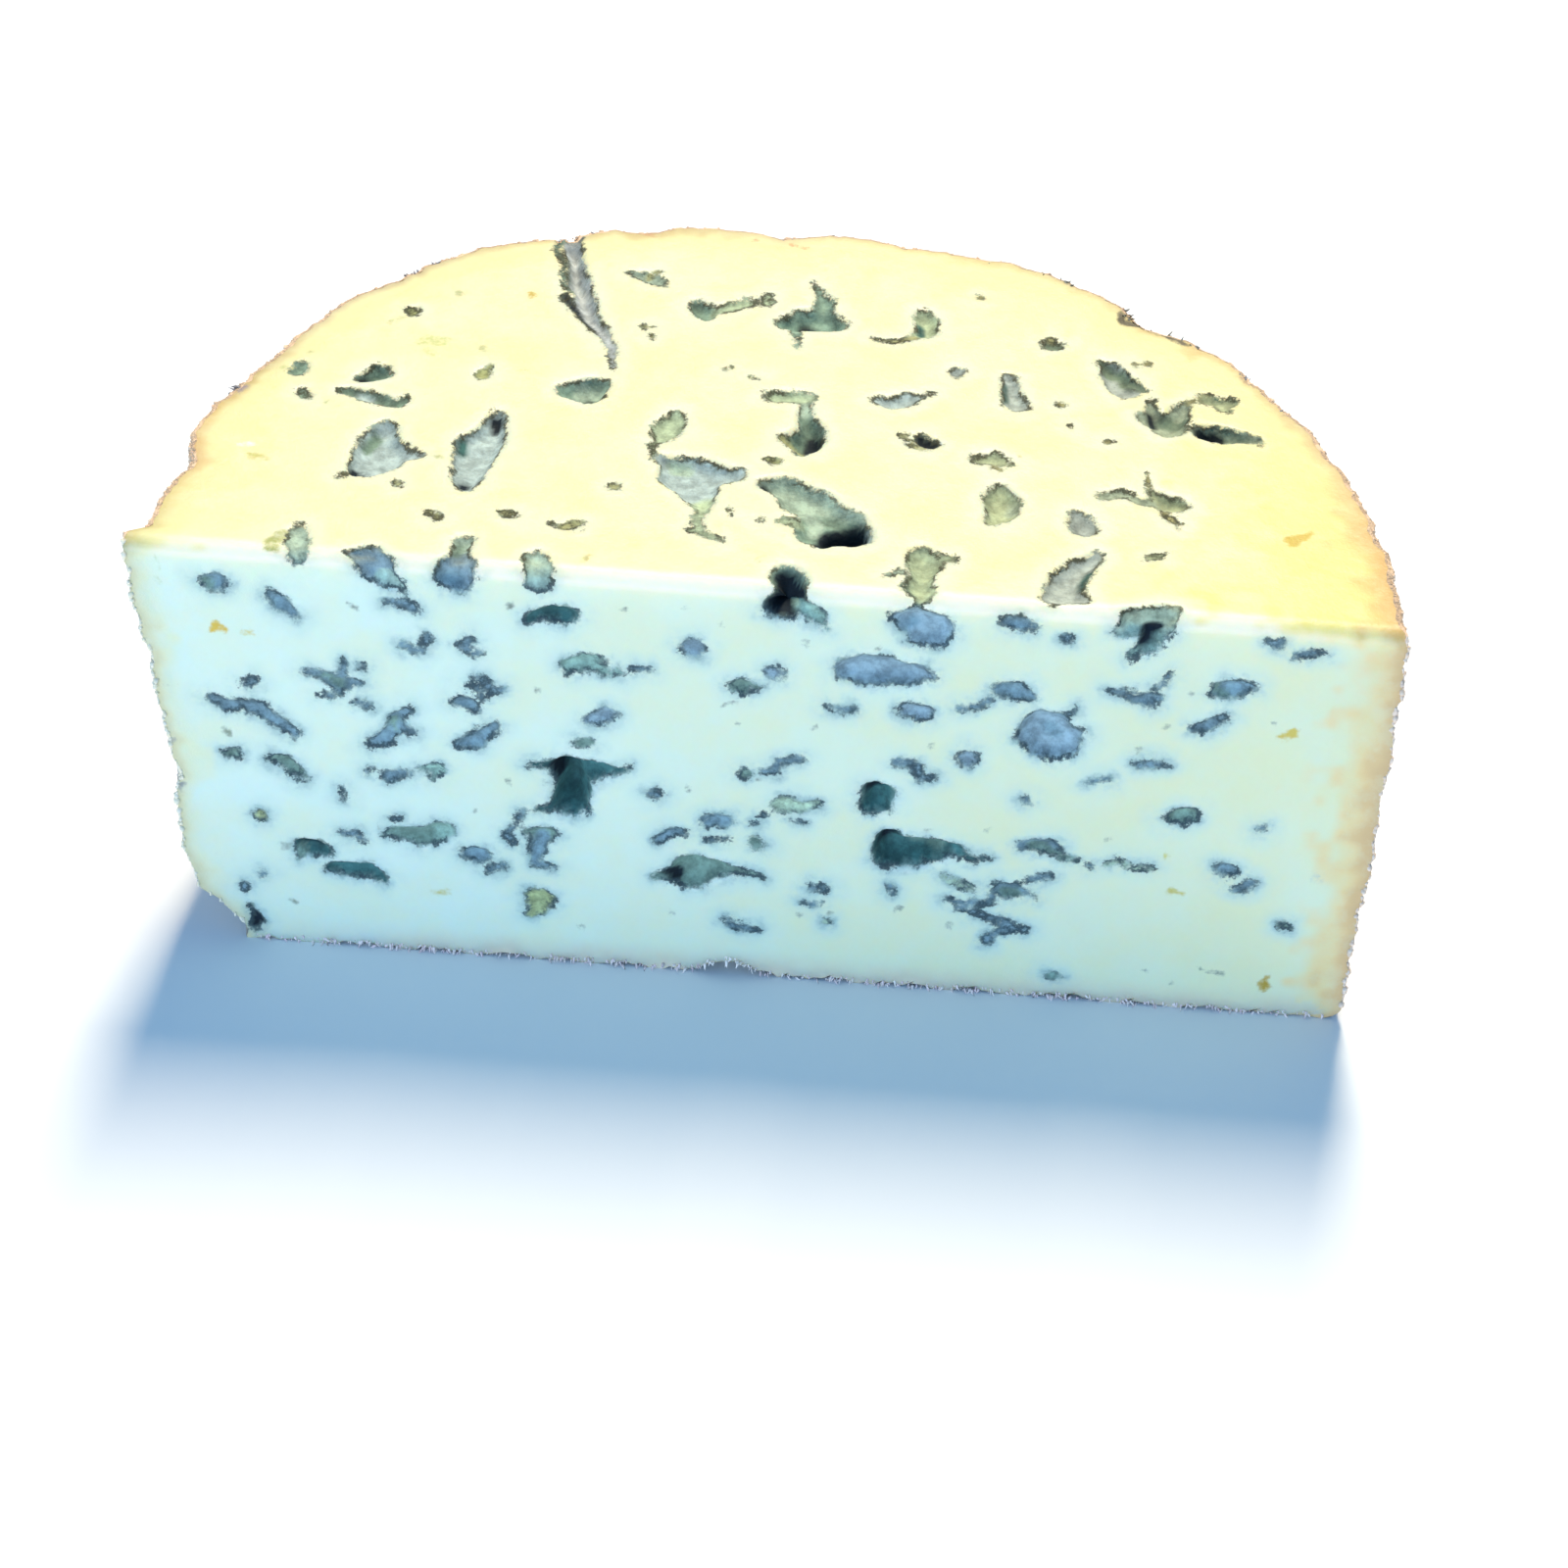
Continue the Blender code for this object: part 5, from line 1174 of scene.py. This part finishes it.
# Rows, the height over which those of the foot close up, how far the first ring is tucked
# in under the paste and towards what point behind the axis, and how far down the side
# the rim's open pockets pull the rings with them.
RIND_COLUMNS = 400
RIM_ROWS, SIDE_ROWS, FOOT_ROWS, UNDER_ROWS = 5, 104, 13, 14
FOOT_BAND = 5.0
TUCK, TUCK_AIM = 0.35, 20.0
GRIP = 13.0


def rind_levels():
    """Heights of the rings: by cosine round the rim and the foot, even down the side."""
    rim_turn = np.radians(np.linspace(0.0, 90.0, RIM_ROWS))
    foot_turn = np.radians(np.linspace(90.0, 0.0, FOOT_ROWS))
    upper = SLAB_HEIGHT - TOP_RIM_ROUND * (1.0 - np.cos(rim_turn))
    lower = FOOT_BAND * (1.0 - np.cos(foot_turn))
    side = np.linspace(upper[-1], lower[0], SIDE_ROWS + 1)[1:-1]
    return np.concatenate([upper, side, lower])


def rind_grid():
    """Points of the rind sheet: a ring at each height, then rows drawn in beneath to the front edge.

    Each ring runs at even angles from one end of the cut to the other. The rows beneath
    run straight from the last ring to the front edge, over the arch of the foot's notch.
    """
    level = rind_levels()[:, None]
    share = np.linspace(0.0, 1.0, RIND_COLUMNS + 1)[None, :]
    start, end = end_angle(level, 0), end_angle(level, 180)
    x, y = rind_xy(start + (end - start) * share, level)
    _, drop, _ = pockets_at(x[0], y[0])
    z = level - drop * ease(level, SLAB_HEIGHT - GRIP, SLAB_HEIGHT)
    rings = np.stack([x, y, z], axis=-1)
    inward = np.array((0.0, AXIS_BEHIND_CUT + TUCK_AIM, 0.0)) - rings[:1] * (1.0, 1.0, 0.0)
    inward = inward / np.linalg.norm(inward, axis=-1, keepdims=True)
    tucked = rings[:1] + TUCK * inward - np.array((0.0, 0.0, TUCK))
    edge_x = x[-1, 0] + (x[-1, -1] - x[-1, 0]) * share[0]
    foot_edge = np.stack([edge_x, 0.0 * edge_x, foot_lift(edge_x) + foot_teeth(edge_x)], axis=-1)
    draw = np.linspace(0.0, 1.0, UNDER_ROWS + 1)[1:, None, None]
    under = rings[-1:] + (foot_edge[None] - rings[-1:]) * draw
    arch = foot_lift(under[..., 0]) * (1.0 - ease(under[..., 1], 0.0, FOOT_NOTCH_DEEP))
    under[..., 2] = np.where(draw[..., 0] < 1.0, arch, foot_edge[None, :, 2])
    return np.concatenate([tucked, rings, under])


def weld(made):
    """Joins points that lie together, as at the two ends of the foot's rows."""
    shape = bmesh.new()
    shape.from_mesh(made.data)
    bmesh.ops.remove_doubles(shape, verts=shape.verts, dist=0.00001)
    shape.to_mesh(made.data)
    shape.free()


rind_points = rind_grid()
rind_faces = grid_faces(rind_points.shape[0] - 1, RIND_COLUMNS)[:, ::-1]
rind = sheet_object("rind", rind_points.reshape(-1, 3), rind_faces)
point_value(rind, "up", rind_points[..., 2] / SLAB_HEIGHT)
weld(rind)

CRUST_BEIGE, CRUST_GREY = linear(206, 196, 172), linear(176, 174, 164)
CRUST_TAN, CRUST_BLOOM = linear(204, 170, 130), linear(232, 228, 216)
CRUST_VIOLET, CRUST_PEACH = linear(142, 136, 146), linear(250, 210, 168)

# Noises of the crust: waves a metre, detail and roughness.
TAN_NOISE, BLOOM_NOISE = (46.0, 4.0, 0.6), (260.0, 5.0, 0.7)
SPOT_NOISE, PIT_NOISE = (150.0, 4.0, 0.65), (520.0, 5.0, 0.75)


def rind_material():
    """Grey-beige crust, and over it in turn: tan patches, pale bloom, grey-violet spots, peach at the rim."""
    material, tree = new_material("dry rind")
    mottle, place = mottled(tree, 70.0)
    colour = blend_colours(tree, mottle["Cloud"], CRUST_BEIGE, CRUST_GREY)
    tan = stretch(tree, noise_node(tree, place, *TAN_NOISE), 0.46, 0.66, 0.0, 0.8)
    colour = blend_colours(tree, tan, colour, CRUST_TAN)
    bloom = stretch(tree, noise_node(tree, place, *BLOOM_NOISE), 0.44, 0.62, 0.0, 0.75)
    colour = blend_colours(tree, bloom, colour, CRUST_BLOOM)
    spots = stretch(tree, noise_node(tree, place, *SPOT_NOISE), 0.60, 0.70, 0.0, 0.8)
    colour = blend_colours(tree, spots, colour, CRUST_VIOLET)
    near_rim = stretch(tree, attribute_node(tree, "up")["Fac"], 0.90, 0.985, 0.0, 0.9)
    colour = blend_colours(tree, near_rim, colour, CRUST_PEACH)
    pits = stretch(tree, noise_node(tree, place, *PIT_NOISE), 0.3, 0.6)
    height = plus(tree, pits, times(tree, mottle["Height"], 0.8))
    rough = stretch(tree, bloom, 0.0, 0.75, 0.8, 0.95)
    shader = principled(tree, rough, colour, height, 0.9, 0.0006)
    shader.inputs["Specular IOR Level"].default_value = 0.3
    return material


rind.data.materials.append(rind_material())
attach(rind, "root")
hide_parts("cheese")

# Crumbs of the crust: dry grains of rind and mould that stand out all over it. Each is
# a twenty-sided lump, stretched and dented at random and half sunk in the rind.

# How many there are in all, and of them along the rim and the cut's two upright edges.
CRUMBS, RIM_CRUMBS, EDGE_CRUMBS = 6000, 800, 900
CRUMB_SMALLEST, CRUMB_LARGEST, RIM_CRUMB_LARGEST = 0.14, 0.5, 0.3
CRUMB_FIRST, CRUMB_LAST = -3.6, 183.6
CRUMB_TOP, CRUMB_SPAN, RIM_BAND, EDGE_DEGREES = 0.5, 50.5, (0.25, 1.2), 0.9
CRUMB_STRETCH, CRUMB_DENTS = (0.6, 1.3), (0.75, 1.2)
CRUMB_FLAT, CRUMB_SUNK = 0.7, 0.1
CRUMB_TONES = np.array(
    (linear(226, 206, 196), linear(214, 190, 158), linear(186, 178, 170), linear(138, 130, 136))
)
TONE_CHANCES = (0.34, 0.36, 0.2, 0.1)
EDGE_CREAM, EDGE_PINK = linear(244, 234, 200), linear(240, 208, 178)
RIM_TONE_SHARE, EDGE_TONE_SHARE = 0.8, 0.8

# The twelve corners of a regular twenty-sided lump, a unit from its middle.
GOLDEN = 0.5 * (1.0 + math.sqrt(5.0))
LUMP_CORNERS = np.array(
    [(0, a, b * GOLDEN) for a in (-1, 1) for b in (-1, 1)]
    + [(a, b * GOLDEN, 0) for a in (-1, 1) for b in (-1, 1)]
    + [(b * GOLDEN, 0, a) for a in (-1, 1) for b in (-1, 1)]
) / math.sqrt(1.0 + GOLDEN**2)


def lump_faces():
    """The lump's twenty triangles: every three corners that all lie an edge apart, wound outwards."""
    edge = 2.0 / math.sqrt(1.0 + GOLDEN**2)
    faces = []
    for a, b, c in itertools.combinations(range(len(LUMP_CORNERS)), 3):
        corners = LUMP_CORNERS[[a, b, c]]
        sides = np.linalg.norm(corners - np.roll(corners, 1, axis=0), axis=1)
        if np.all(np.abs(sides - edge) < 0.01):
            turned = np.dot(np.cross(corners[1] - corners[0], corners[2] - corners[0]), corners[0])
            faces.append((a, b, c) if turned > 0.0 else (a, c, b))
    return np.array(faces)


def rind_frame(angle, z):
    """Point on the rind with its outward, sideways and upward directions."""
    x, y = rind_xy(angle, z)
    turn = np.radians(angle)
    outward = np.stack([np.cos(turn), np.sin(turn), 0.0 * turn], axis=-1)
    sideways = np.stack([-np.sin(turn), np.cos(turn), 0.0 * turn], axis=-1)
    upward = np.broadcast_to((0.0, 0.0, 1.0), outward.shape)
    return np.stack([x, y, z], axis=-1), outward, sideways, upward


def repeated(faces, corners_each, count):
    """The same faces once per copy, their corner numbers moved on by each copy's corners."""
    return (faces[None] + corners_each * np.arange(count)[:, None, None]).reshape(-1, faces.shape[1])


# Where the crumbs lie: all round, denser towards the top, then the first ones moved to
# the rim and the next ones to the nearer upright edge.
draw = np.random.default_rng(61)
crumb_angle = draw.uniform(CRUMB_FIRST, CRUMB_LAST, CRUMBS)
crumb_z = SLAB_HEIGHT - CRUMB_TOP - CRUMB_SPAN * draw.uniform(0.0, 1.0, CRUMBS) ** 1.25
at_rim = np.arange(CRUMBS) < RIM_CRUMBS
crumb_z = np.where(at_rim, SLAB_HEIGHT - draw.uniform(*RIM_BAND, CRUMBS), crumb_z)
at_edge = ~at_rim & (np.arange(CRUMBS) < RIM_CRUMBS + EDGE_CRUMBS)
from_edge = EDGE_DEGREES * draw.uniform(0.0, 1.0, CRUMBS) ** 2
right_edge, left_edge = end_angle(crumb_z, 0) + from_edge, end_angle(crumb_z, 180) - from_edge
crumb_angle = np.where(at_edge, np.where(crumb_angle < 90.0, right_edge, left_edge), crumb_angle)
crumb_at, outward, sideways, upward = rind_frame(crumb_angle, crumb_z)

# Each crumb's size, mostly small, its stretch along three ways, and its dented corners.
largest = np.where(at_rim, RIM_CRUMB_LARGEST, CRUMB_LARGEST)
crumb_size = CRUMB_SMALLEST + (largest - CRUMB_SMALLEST) * draw.uniform(0.0, 1.0, CRUMBS) ** 2.5
stretched = crumb_size[:, None] * draw.uniform(*CRUMB_STRETCH, (CRUMBS, 3))
lump_corners = len(LUMP_CORNERS)
lumps = LUMP_CORNERS * draw.uniform(*CRUMB_DENTS, (CRUMBS, lump_corners, 1))
crumb_points = crumb_at[:, None] - CRUMB_SUNK * crumb_size[:, None, None] * outward[:, None]
for axis, way in enumerate((CRUMB_FLAT * outward, sideways, upward)):
    crumb_points = crumb_points + lumps[:, :, axis, None] * stretched[:, None, axis, None] * way[:, None]
crumb_faces = repeated(lump_faces(), lump_corners, CRUMBS)
crumbs = sheet_object("crumbs", crumb_points.reshape(-1, 3), crumb_faces)

# Each crumb's tone: one of four, then peach near the rim, cream or pink at the edges.
crumb_tone = CRUMB_TONES[draw.choice(len(CRUMB_TONES), CRUMBS, p=TONE_CHANCES)]
rim_share = ease(crumb_z, 47.0, 52.0)[:, None]
crumb_tone = crumb_tone + RIM_TONE_SHARE * (CRUST_PEACH - crumb_tone) * rim_share
edge_tone = np.where(crumb_angle[:, None] < 90.0, EDGE_PINK, EDGE_CREAM)
edge_tone = (1.0 - EDGE_TONE_SHARE) * crumb_tone + EDGE_TONE_SHARE * edge_tone
crumb_tone = np.where(at_edge[:, None], edge_tone, crumb_tone)
point_value(crumbs, "tone", np.repeat(with_strength(crumb_tone, 1.0), lump_corners, axis=0))


def dust_group():
    """Fine pale dust on a dry surface: one noise of the place, eased to at most 0.45 of it."""
    group, start, end = new_group("dust", (("Place", "NodeSocketVector", None),), ("Dust",))
    grains = noise_node(group, start.outputs["Place"], 1800.0, 3.0, 0.6)
    group.links.new(stretch(group, grains, 0.35, 0.7, 0.0, 0.45), end.inputs["Dust"])
    return group


DUST = dust_group()


def dusty_material(name, cloud_scale):
    """The piece's own tones under dust, with the roughness and height of the shared mottling."""
    material, tree = new_material(name)
    mottle, place = mottled(tree, cloud_scale)
    dust = tree.nodes.new("ShaderNodeGroup")
    dust.node_tree = DUST
    tree.links.new(place, dust.inputs["Place"])
    tone = attribute_node(tree, "tone")["Color"]
    colour = blend_colours(tree, dust.outputs["Dust"], tone, CRUST_BLOOM)
    rough = stretch(tree, mottle["Grain"], 0.0, 1.0, 0.82, 0.95)
    shader = principled(tree, rough, colour, mottle["Height"], 0.5, 0.0002)
    shader.inputs["Specular IOR Level"].default_value = 0.3
    return material


crumbs.data.materials.append(dusty_material("dusty crumbs", 300.0))
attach(crumbs, "root")
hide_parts("cheese")

# Tufts of mould: short stiff hairs in clumps at the rim, and a white and lilac hem
# under the front foot. Each is a bent five-sided spike with a closed root.

# A spike's rings, as shares of its length, of its width and of its length aside, and
# how far aside its tip stands.
SPIKE_SIDES, TIP_ASIDE = 5, 0.35
SPIKE_SHAPE = ((0.0, 0.5, 0.0), (0.45, 0.36, 0.06), (0.8, 0.18, 0.2))
TONE_WHITE, TONE_LILAC = linear(250, 236, 226), linear(226, 196, 200)
TONE_DARK, TONE_GREY, TONE_PINK = linear(84, 74, 48), linear(136, 126, 128), linear(222, 176, 150)

# The hem: how many, from where to where, how far in front and above the foot they root.
HEM_SPIKES, HEM_LEFT, HEM_RIGHT = 900, -54.5, 63.5
HEM_OUT, HEM_UP, HEM_DOWNWARD = (0.1, 0.3), (0.1, 0.8), (-0.7, -0.2)
HEM_SHORTEST, HEM_LONGER = 0.2, 0.8
SPIKE_WIDEST, SPIKE_SLIMNESS, GROUND_GAP = 0.5, (0.4, 0.9), 0.02

# Clumps at the rim: (x, y) seen from above, spread, how many, length and tone.
RIM_CLUMPS = (
    (-59.5, 29.0, 1.3, 22, 1.1, TONE_GREY),
    (-62.0, 16.0, 1.6, 12, 0.5, TONE_PINK),
    (-61.5, 25.0, 0.8, 8, 0.5, TONE_PINK),
    (-44.0, 54.0, 0.8, 9, 0.9, TONE_GREY),
    (-41.0, 56.4, 0.9, 10, 0.8, TONE_GREY),
    (-28.9, 65.4, 0.7, 10, 0.7, TONE_GREY),
    (-24.6, 66.6, 0.6, 8, 0.8, TONE_GREY),
    (-18.0, 65.5, 0.8, 8, 0.5, TONE_PINK),
    (-2.0, 65.8, 1.2, 9, 0.4, TONE_PINK),
    (3.0, 65.0, 0.4, 4, 0.6, TONE_DARK),
    (20.5, 64.5, 0.9, 9, 0.5, TONE_GREY),
    (26.5, 63.4, 0.8, 7, 0.4, TONE_DARK),
    (30.0, 62.0, 0.8, 12, 0.6, TONE_DARK),
    (36.5, 56.0, 1.2, 20, 0.9, TONE_DARK),
    (39.6, 54.4, 1.2, 14, 0.6, TONE_DARK),
    (41.7, 53.5, 0.4, 7, 1.3, TONE_DARK),
    (44.0, 51.0, 1.1, 12, 0.6, TONE_DARK),
    (49.5, 45.5, 1.0, 12, 0.7, TONE_GREY),
    (53.7, 38.8, 1.0, 10, 0.6, TONE_GREY),
)


def spike_faces():
    """Triangles of one spike: two per side between rings, one to the tip and one to the root."""
    faces = []
    for ring in range(len(SPIKE_SHAPE) - 1):
        for side in range(SPIKE_SIDES):
            a, b = ring * SPIKE_SIDES + side, ring * SPIKE_SIDES + (side + 1) % SPIKE_SIDES
            faces += [(a, b, b + SPIKE_SIDES), (a, b + SPIKE_SIDES, a + SPIKE_SIDES)]
    last, tip = (len(SPIKE_SHAPE) - 1) * SPIKE_SIDES, len(SPIKE_SHAPE) * SPIKE_SIDES
    for side in range(SPIKE_SIDES):
        step = (side + 1) % SPIKE_SIDES
        faces += [(last + side, last + step, tip), (step, side, tip + 1)]
    return np.array(faces)


def spike_points(roots, along, length, width, draw):
    """Corners of bent spikes: rings round points of a curve from the root, then the tip and the root.

    A ring's middle is the root plus shares of the length along and aside, and the ring
    itself is a circle of cosine and sine in the plane across the spike.
    """
    along = along / np.linalg.norm(along, axis=1, keepdims=True)
    aside = np.cross(along, draw.normal(size=(len(roots), 3)))
    aside = aside / np.linalg.norm(aside, axis=1, keepdims=True)
    other = np.cross(along, aside)
    turn = (np.arange(SPIKE_SIDES) * 2.0 * math.pi / SPIKE_SIDES)[None, :, None]
    circle = np.cos(turn) * aside[:, None] + np.sin(turn) * other[:, None]
    rings = []
    for share, thick, bend in SPIKE_SHAPE:
        centre = roots + length[:, None] * (share * along + bend * aside)
        rings.append(centre[:, None] + thick * width[:, None, None] * circle)
    tip = roots + length[:, None] * (along + TIP_ASIDE * aside)
    return np.concatenate([*rings, tip[:, None], roots[:, None]], axis=1)


# The rim's clumps: each spike a little way round from the clump's own bearing, on the
# rounded rim, splayed sideways and up.
draw = np.random.default_rng(71)
roots, along, lengths, tones = [], [], [], []
for x, y, spread, count, length, tone in RIM_CLUMPS:
    sidestep = draw.normal(0.0, 0.6 * spread, count) / DRUM_RADIUS
    angle = bearing_of(x, y) + np.degrees(sidestep)
    z = SLAB_HEIGHT - draw.uniform(0.0, 1.0, count)
    at, outward, sideways, upward = rind_frame(angle, z)
    roots.append(at - draw.uniform(0.1, 0.7, (count, 1)) * outward)
    splay, rise = draw.normal(0.0, 0.9, (count, 1)), draw.uniform(0.0, 0.7, (count, 1))
    along.append(draw.uniform(0.0, 1.0, (count, 1)) * outward + splay * sideways + rise * upward)
    lengths.append(length * draw.uniform(0.45, 1.0, count))
    tones.append(np.broadcast_to(tone, (count, 3)) * draw.uniform(0.8, 1.25, (count, 1)))

# The hem: spikes that point forward and down, lilac or white, and all white at the notch.
hem_x = draw.uniform(HEM_LEFT, HEM_RIGHT, HEM_SPIKES)
at_notch = np.abs(hem_x - FOOT_NOTCH_AT) < FOOT_NOTCH_HALF
hem_y = draw.uniform(*HEM_OUT, HEM_SPIKES)
hem_z = foot_lift(hem_x) + draw.uniform(*HEM_UP, HEM_SPIKES)
roots.append(np.stack([hem_x, hem_y, hem_z], axis=-1))
aside, downward = draw.normal(0.0, 0.35, HEM_SPIKES), draw.uniform(*HEM_DOWNWARD, HEM_SPIKES)
along.append(np.stack([aside, -np.ones(HEM_SPIKES), downward], axis=-1))
lengths.append(HEM_SHORTEST + HEM_LONGER * draw.uniform(0.0, 1.0, HEM_SPIKES) ** 3.0)
pale_share = np.where(at_notch, 1.0, draw.uniform(0.0, 1.0, HEM_SPIKES))[:, None]
tones.append(TONE_LILAC * (1.0 - pale_share) + TONE_WHITE * pale_share)

roots, along = np.concatenate(roots), np.concatenate(along)
lengths, tones = np.concatenate(lengths), np.concatenate(tones)
widths = np.minimum(lengths, SPIKE_WIDEST) * draw.uniform(*SPIKE_SLIMNESS, len(lengths))
tuft_points = spike_points(roots, along, lengths, widths, draw)
corners_each = tuft_points.shape[1]
tuft_points[..., 2] = np.maximum(tuft_points[..., 2], GROUND_GAP)
tuft_faces = repeated(spike_faces(), corners_each, len(roots))
tufts = sheet_object("tufts", tuft_points.reshape(-1, 3), tuft_faces)
tones = with_strength(np.minimum(tones, 1.0), 1.0)
point_value(tufts, "tone", np.repeat(tones, corners_each, axis=0))
tufts.data.materials.append(dusty_material("mould tufts", 500.0))
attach(tufts, "root")
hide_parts("cheese")

# The floor: a plain pale sheet three metres out each way, matt so that it shows no glare.

FLOOR_HALF, FLOOR_GREY, FLOOR_ROUGH = 3.0, 0.90, 0.9
floor_mesh = bpy.data.meshes.new("floor")
floor_corners = [(x * FLOOR_HALF, y * FLOOR_HALF, 0.0) for x, y in ((-1, -1), (1, -1), (1, 1), (-1, 1))]
floor_mesh.from_pydata(floor_corners, [], [(0, 1, 2, 3)])
floor = bpy.data.objects.new("floor", floor_mesh)
bpy.context.scene.collection.objects.link(floor)
floor_material, floor_tree = new_material("pale floor")
floor_shader = floor_tree.nodes["Principled BSDF"]
floor_shader.inputs["Base Color"].default_value = (FLOOR_GREY, FLOOR_GREY, FLOOR_GREY, 1.0)
floor_shader.inputs["Roughness"].default_value = FLOOR_ROUGH
floor_shader.inputs["Specular IOR Level"].default_value = 0.0
floor_mesh.materials.append(floor_material)

# The lights: a warm wide source behind and above, a low cool one in front, and a faint
# cool sky. Sizes and distances are in metres, angles in degrees.

KEY_ELEVATION, KEY_BEARING, KEY_AWAY = 60.5, 5.0, 2.0
KEY_WIDE, KEY_LONG, KEY_IRRADIANCE = 0.33, 0.95, 4.17
KEY_COLOUR = (1.0, 0.87, 0.65)
FRONT_PLACE, FRONT_TURN, FRONT_TIP = (-0.45, -1.2, 0.13), 20.0, 4.0
FRONT_WIDE, FRONT_HIGH, FRONT_POWER = 1.6, 0.24, 14.3
FRONT_COLOUR = (0.52, 0.71, 1.0)
SKY_COLOUR, SKY_STRENGTH = (0.235, 0.525, 0.94, 1.0), 0.61


def area_light(name, wide, high, power, colour, place, turned):
    """A rectangular source of this size, placed and turned."""
    light = bpy.data.lights.new(name, "AREA")
    light.shape = "RECTANGLE"
    light.size, light.size_y = wide, high
    light.energy = power
    light.color = colour
    lamp = bpy.data.objects.new(name, light)
    lamp.location = place
    lamp.rotation_euler = turned
    bpy.context.scene.collection.objects.link(lamp)


key_rise, key_turn = math.radians(KEY_ELEVATION), math.radians(KEY_BEARING)
key_level = KEY_AWAY * math.cos(key_rise)
area_light(
    "key",
    KEY_WIDE,
    KEY_LONG,
    KEY_IRRADIANCE * math.pi * KEY_AWAY**2,
    KEY_COLOUR,
    (key_level * math.sin(key_turn), key_level * math.cos(key_turn), KEY_AWAY * math.sin(key_rise)),
    (key_rise - 0.5 * math.pi, 0.0, -key_turn),
)
area_light(
    "front",
    FRONT_WIDE,
    FRONT_HIGH,
    FRONT_POWER,
    FRONT_COLOUR,
    FRONT_PLACE,
    (math.radians(90.0 - FRONT_TIP), 0.0, -math.radians(FRONT_TURN)),
)

# The sky lights the scene in cool blue, and is plain white where the camera looks at it.
world = bpy.data.worlds.new("sky")
bpy.context.scene.world = world
world.use_nodes = True
sky_nodes, sky_links = world.node_tree.nodes, world.node_tree.links
sky = sky_nodes["Background"]
sky.inputs["Color"].default_value = SKY_COLOUR
sky.inputs["Strength"].default_value = SKY_STRENGTH
seen = sky_nodes.new("ShaderNodeBackground")
seen.inputs["Color"].default_value = (1.0, 1.0, 1.0, 1.0)
path = sky_nodes.new("ShaderNodeLightPath")
either = sky_nodes.new("ShaderNodeMixShader")
sky_links.new(path.outputs["Is Camera Ray"], either.inputs["Fac"])
sky_links.new(sky.outputs["Background"], either.inputs[1])
sky_links.new(seen.outputs["Background"], either.inputs[2])
sky_links.new(either.outputs["Shader"], sky_nodes["World Output"].inputs["Surface"])
bpy.context.scene.view_settings.view_transform = "Standard"

# The camera: at the photo's place and tilt, as the slab's corners and edges give it. The
# place is in millimetres, the angles in radians, and the focal length a share of the width.

CAMERA_PLACE = np.array((7.43, -331.56, 300.84))
CAMERA_YAW, CAMERA_PITCH, CAMERA_ROLL = 0.015, 0.6894, -0.0651
FOCAL_SHARE = 4152.0 / 1600.0
SENSOR = 36.0

camera = bpy.data.cameras.new("camera")
camera.sensor_width = SENSOR
camera.lens = SENSOR * FOCAL_SHARE
camera.clip_start, camera.clip_end = 0.01, 20.0
camera_object = bpy.data.objects.new("camera", camera)
level_ahead = np.array((-math.sin(CAMERA_YAW), math.cos(CAMERA_YAW), 0.0))
ahead = level_ahead * math.cos(CAMERA_PITCH) - np.array((0.0, 0.0, math.sin(CAMERA_PITCH)))
level_right = np.array((math.cos(CAMERA_YAW), math.sin(CAMERA_YAW), 0.0))
level_down = np.cross(ahead, level_right)
right = math.cos(CAMERA_ROLL) * level_right + math.sin(CAMERA_ROLL) * level_down
down = math.cos(CAMERA_ROLL) * level_down - math.sin(CAMERA_ROLL) * level_right
turned = np.eye(4)
turned[:3, :3] = np.stack([right, -down, -ahead], axis=1)
turned[:3, 3] = (CAMERA_PLACE + SHIFT) * MM
camera_object.matrix_world = mathutils.Matrix(turned)
bpy.context.scene.collection.objects.link(camera_object)
bpy.context.scene.camera = camera_object
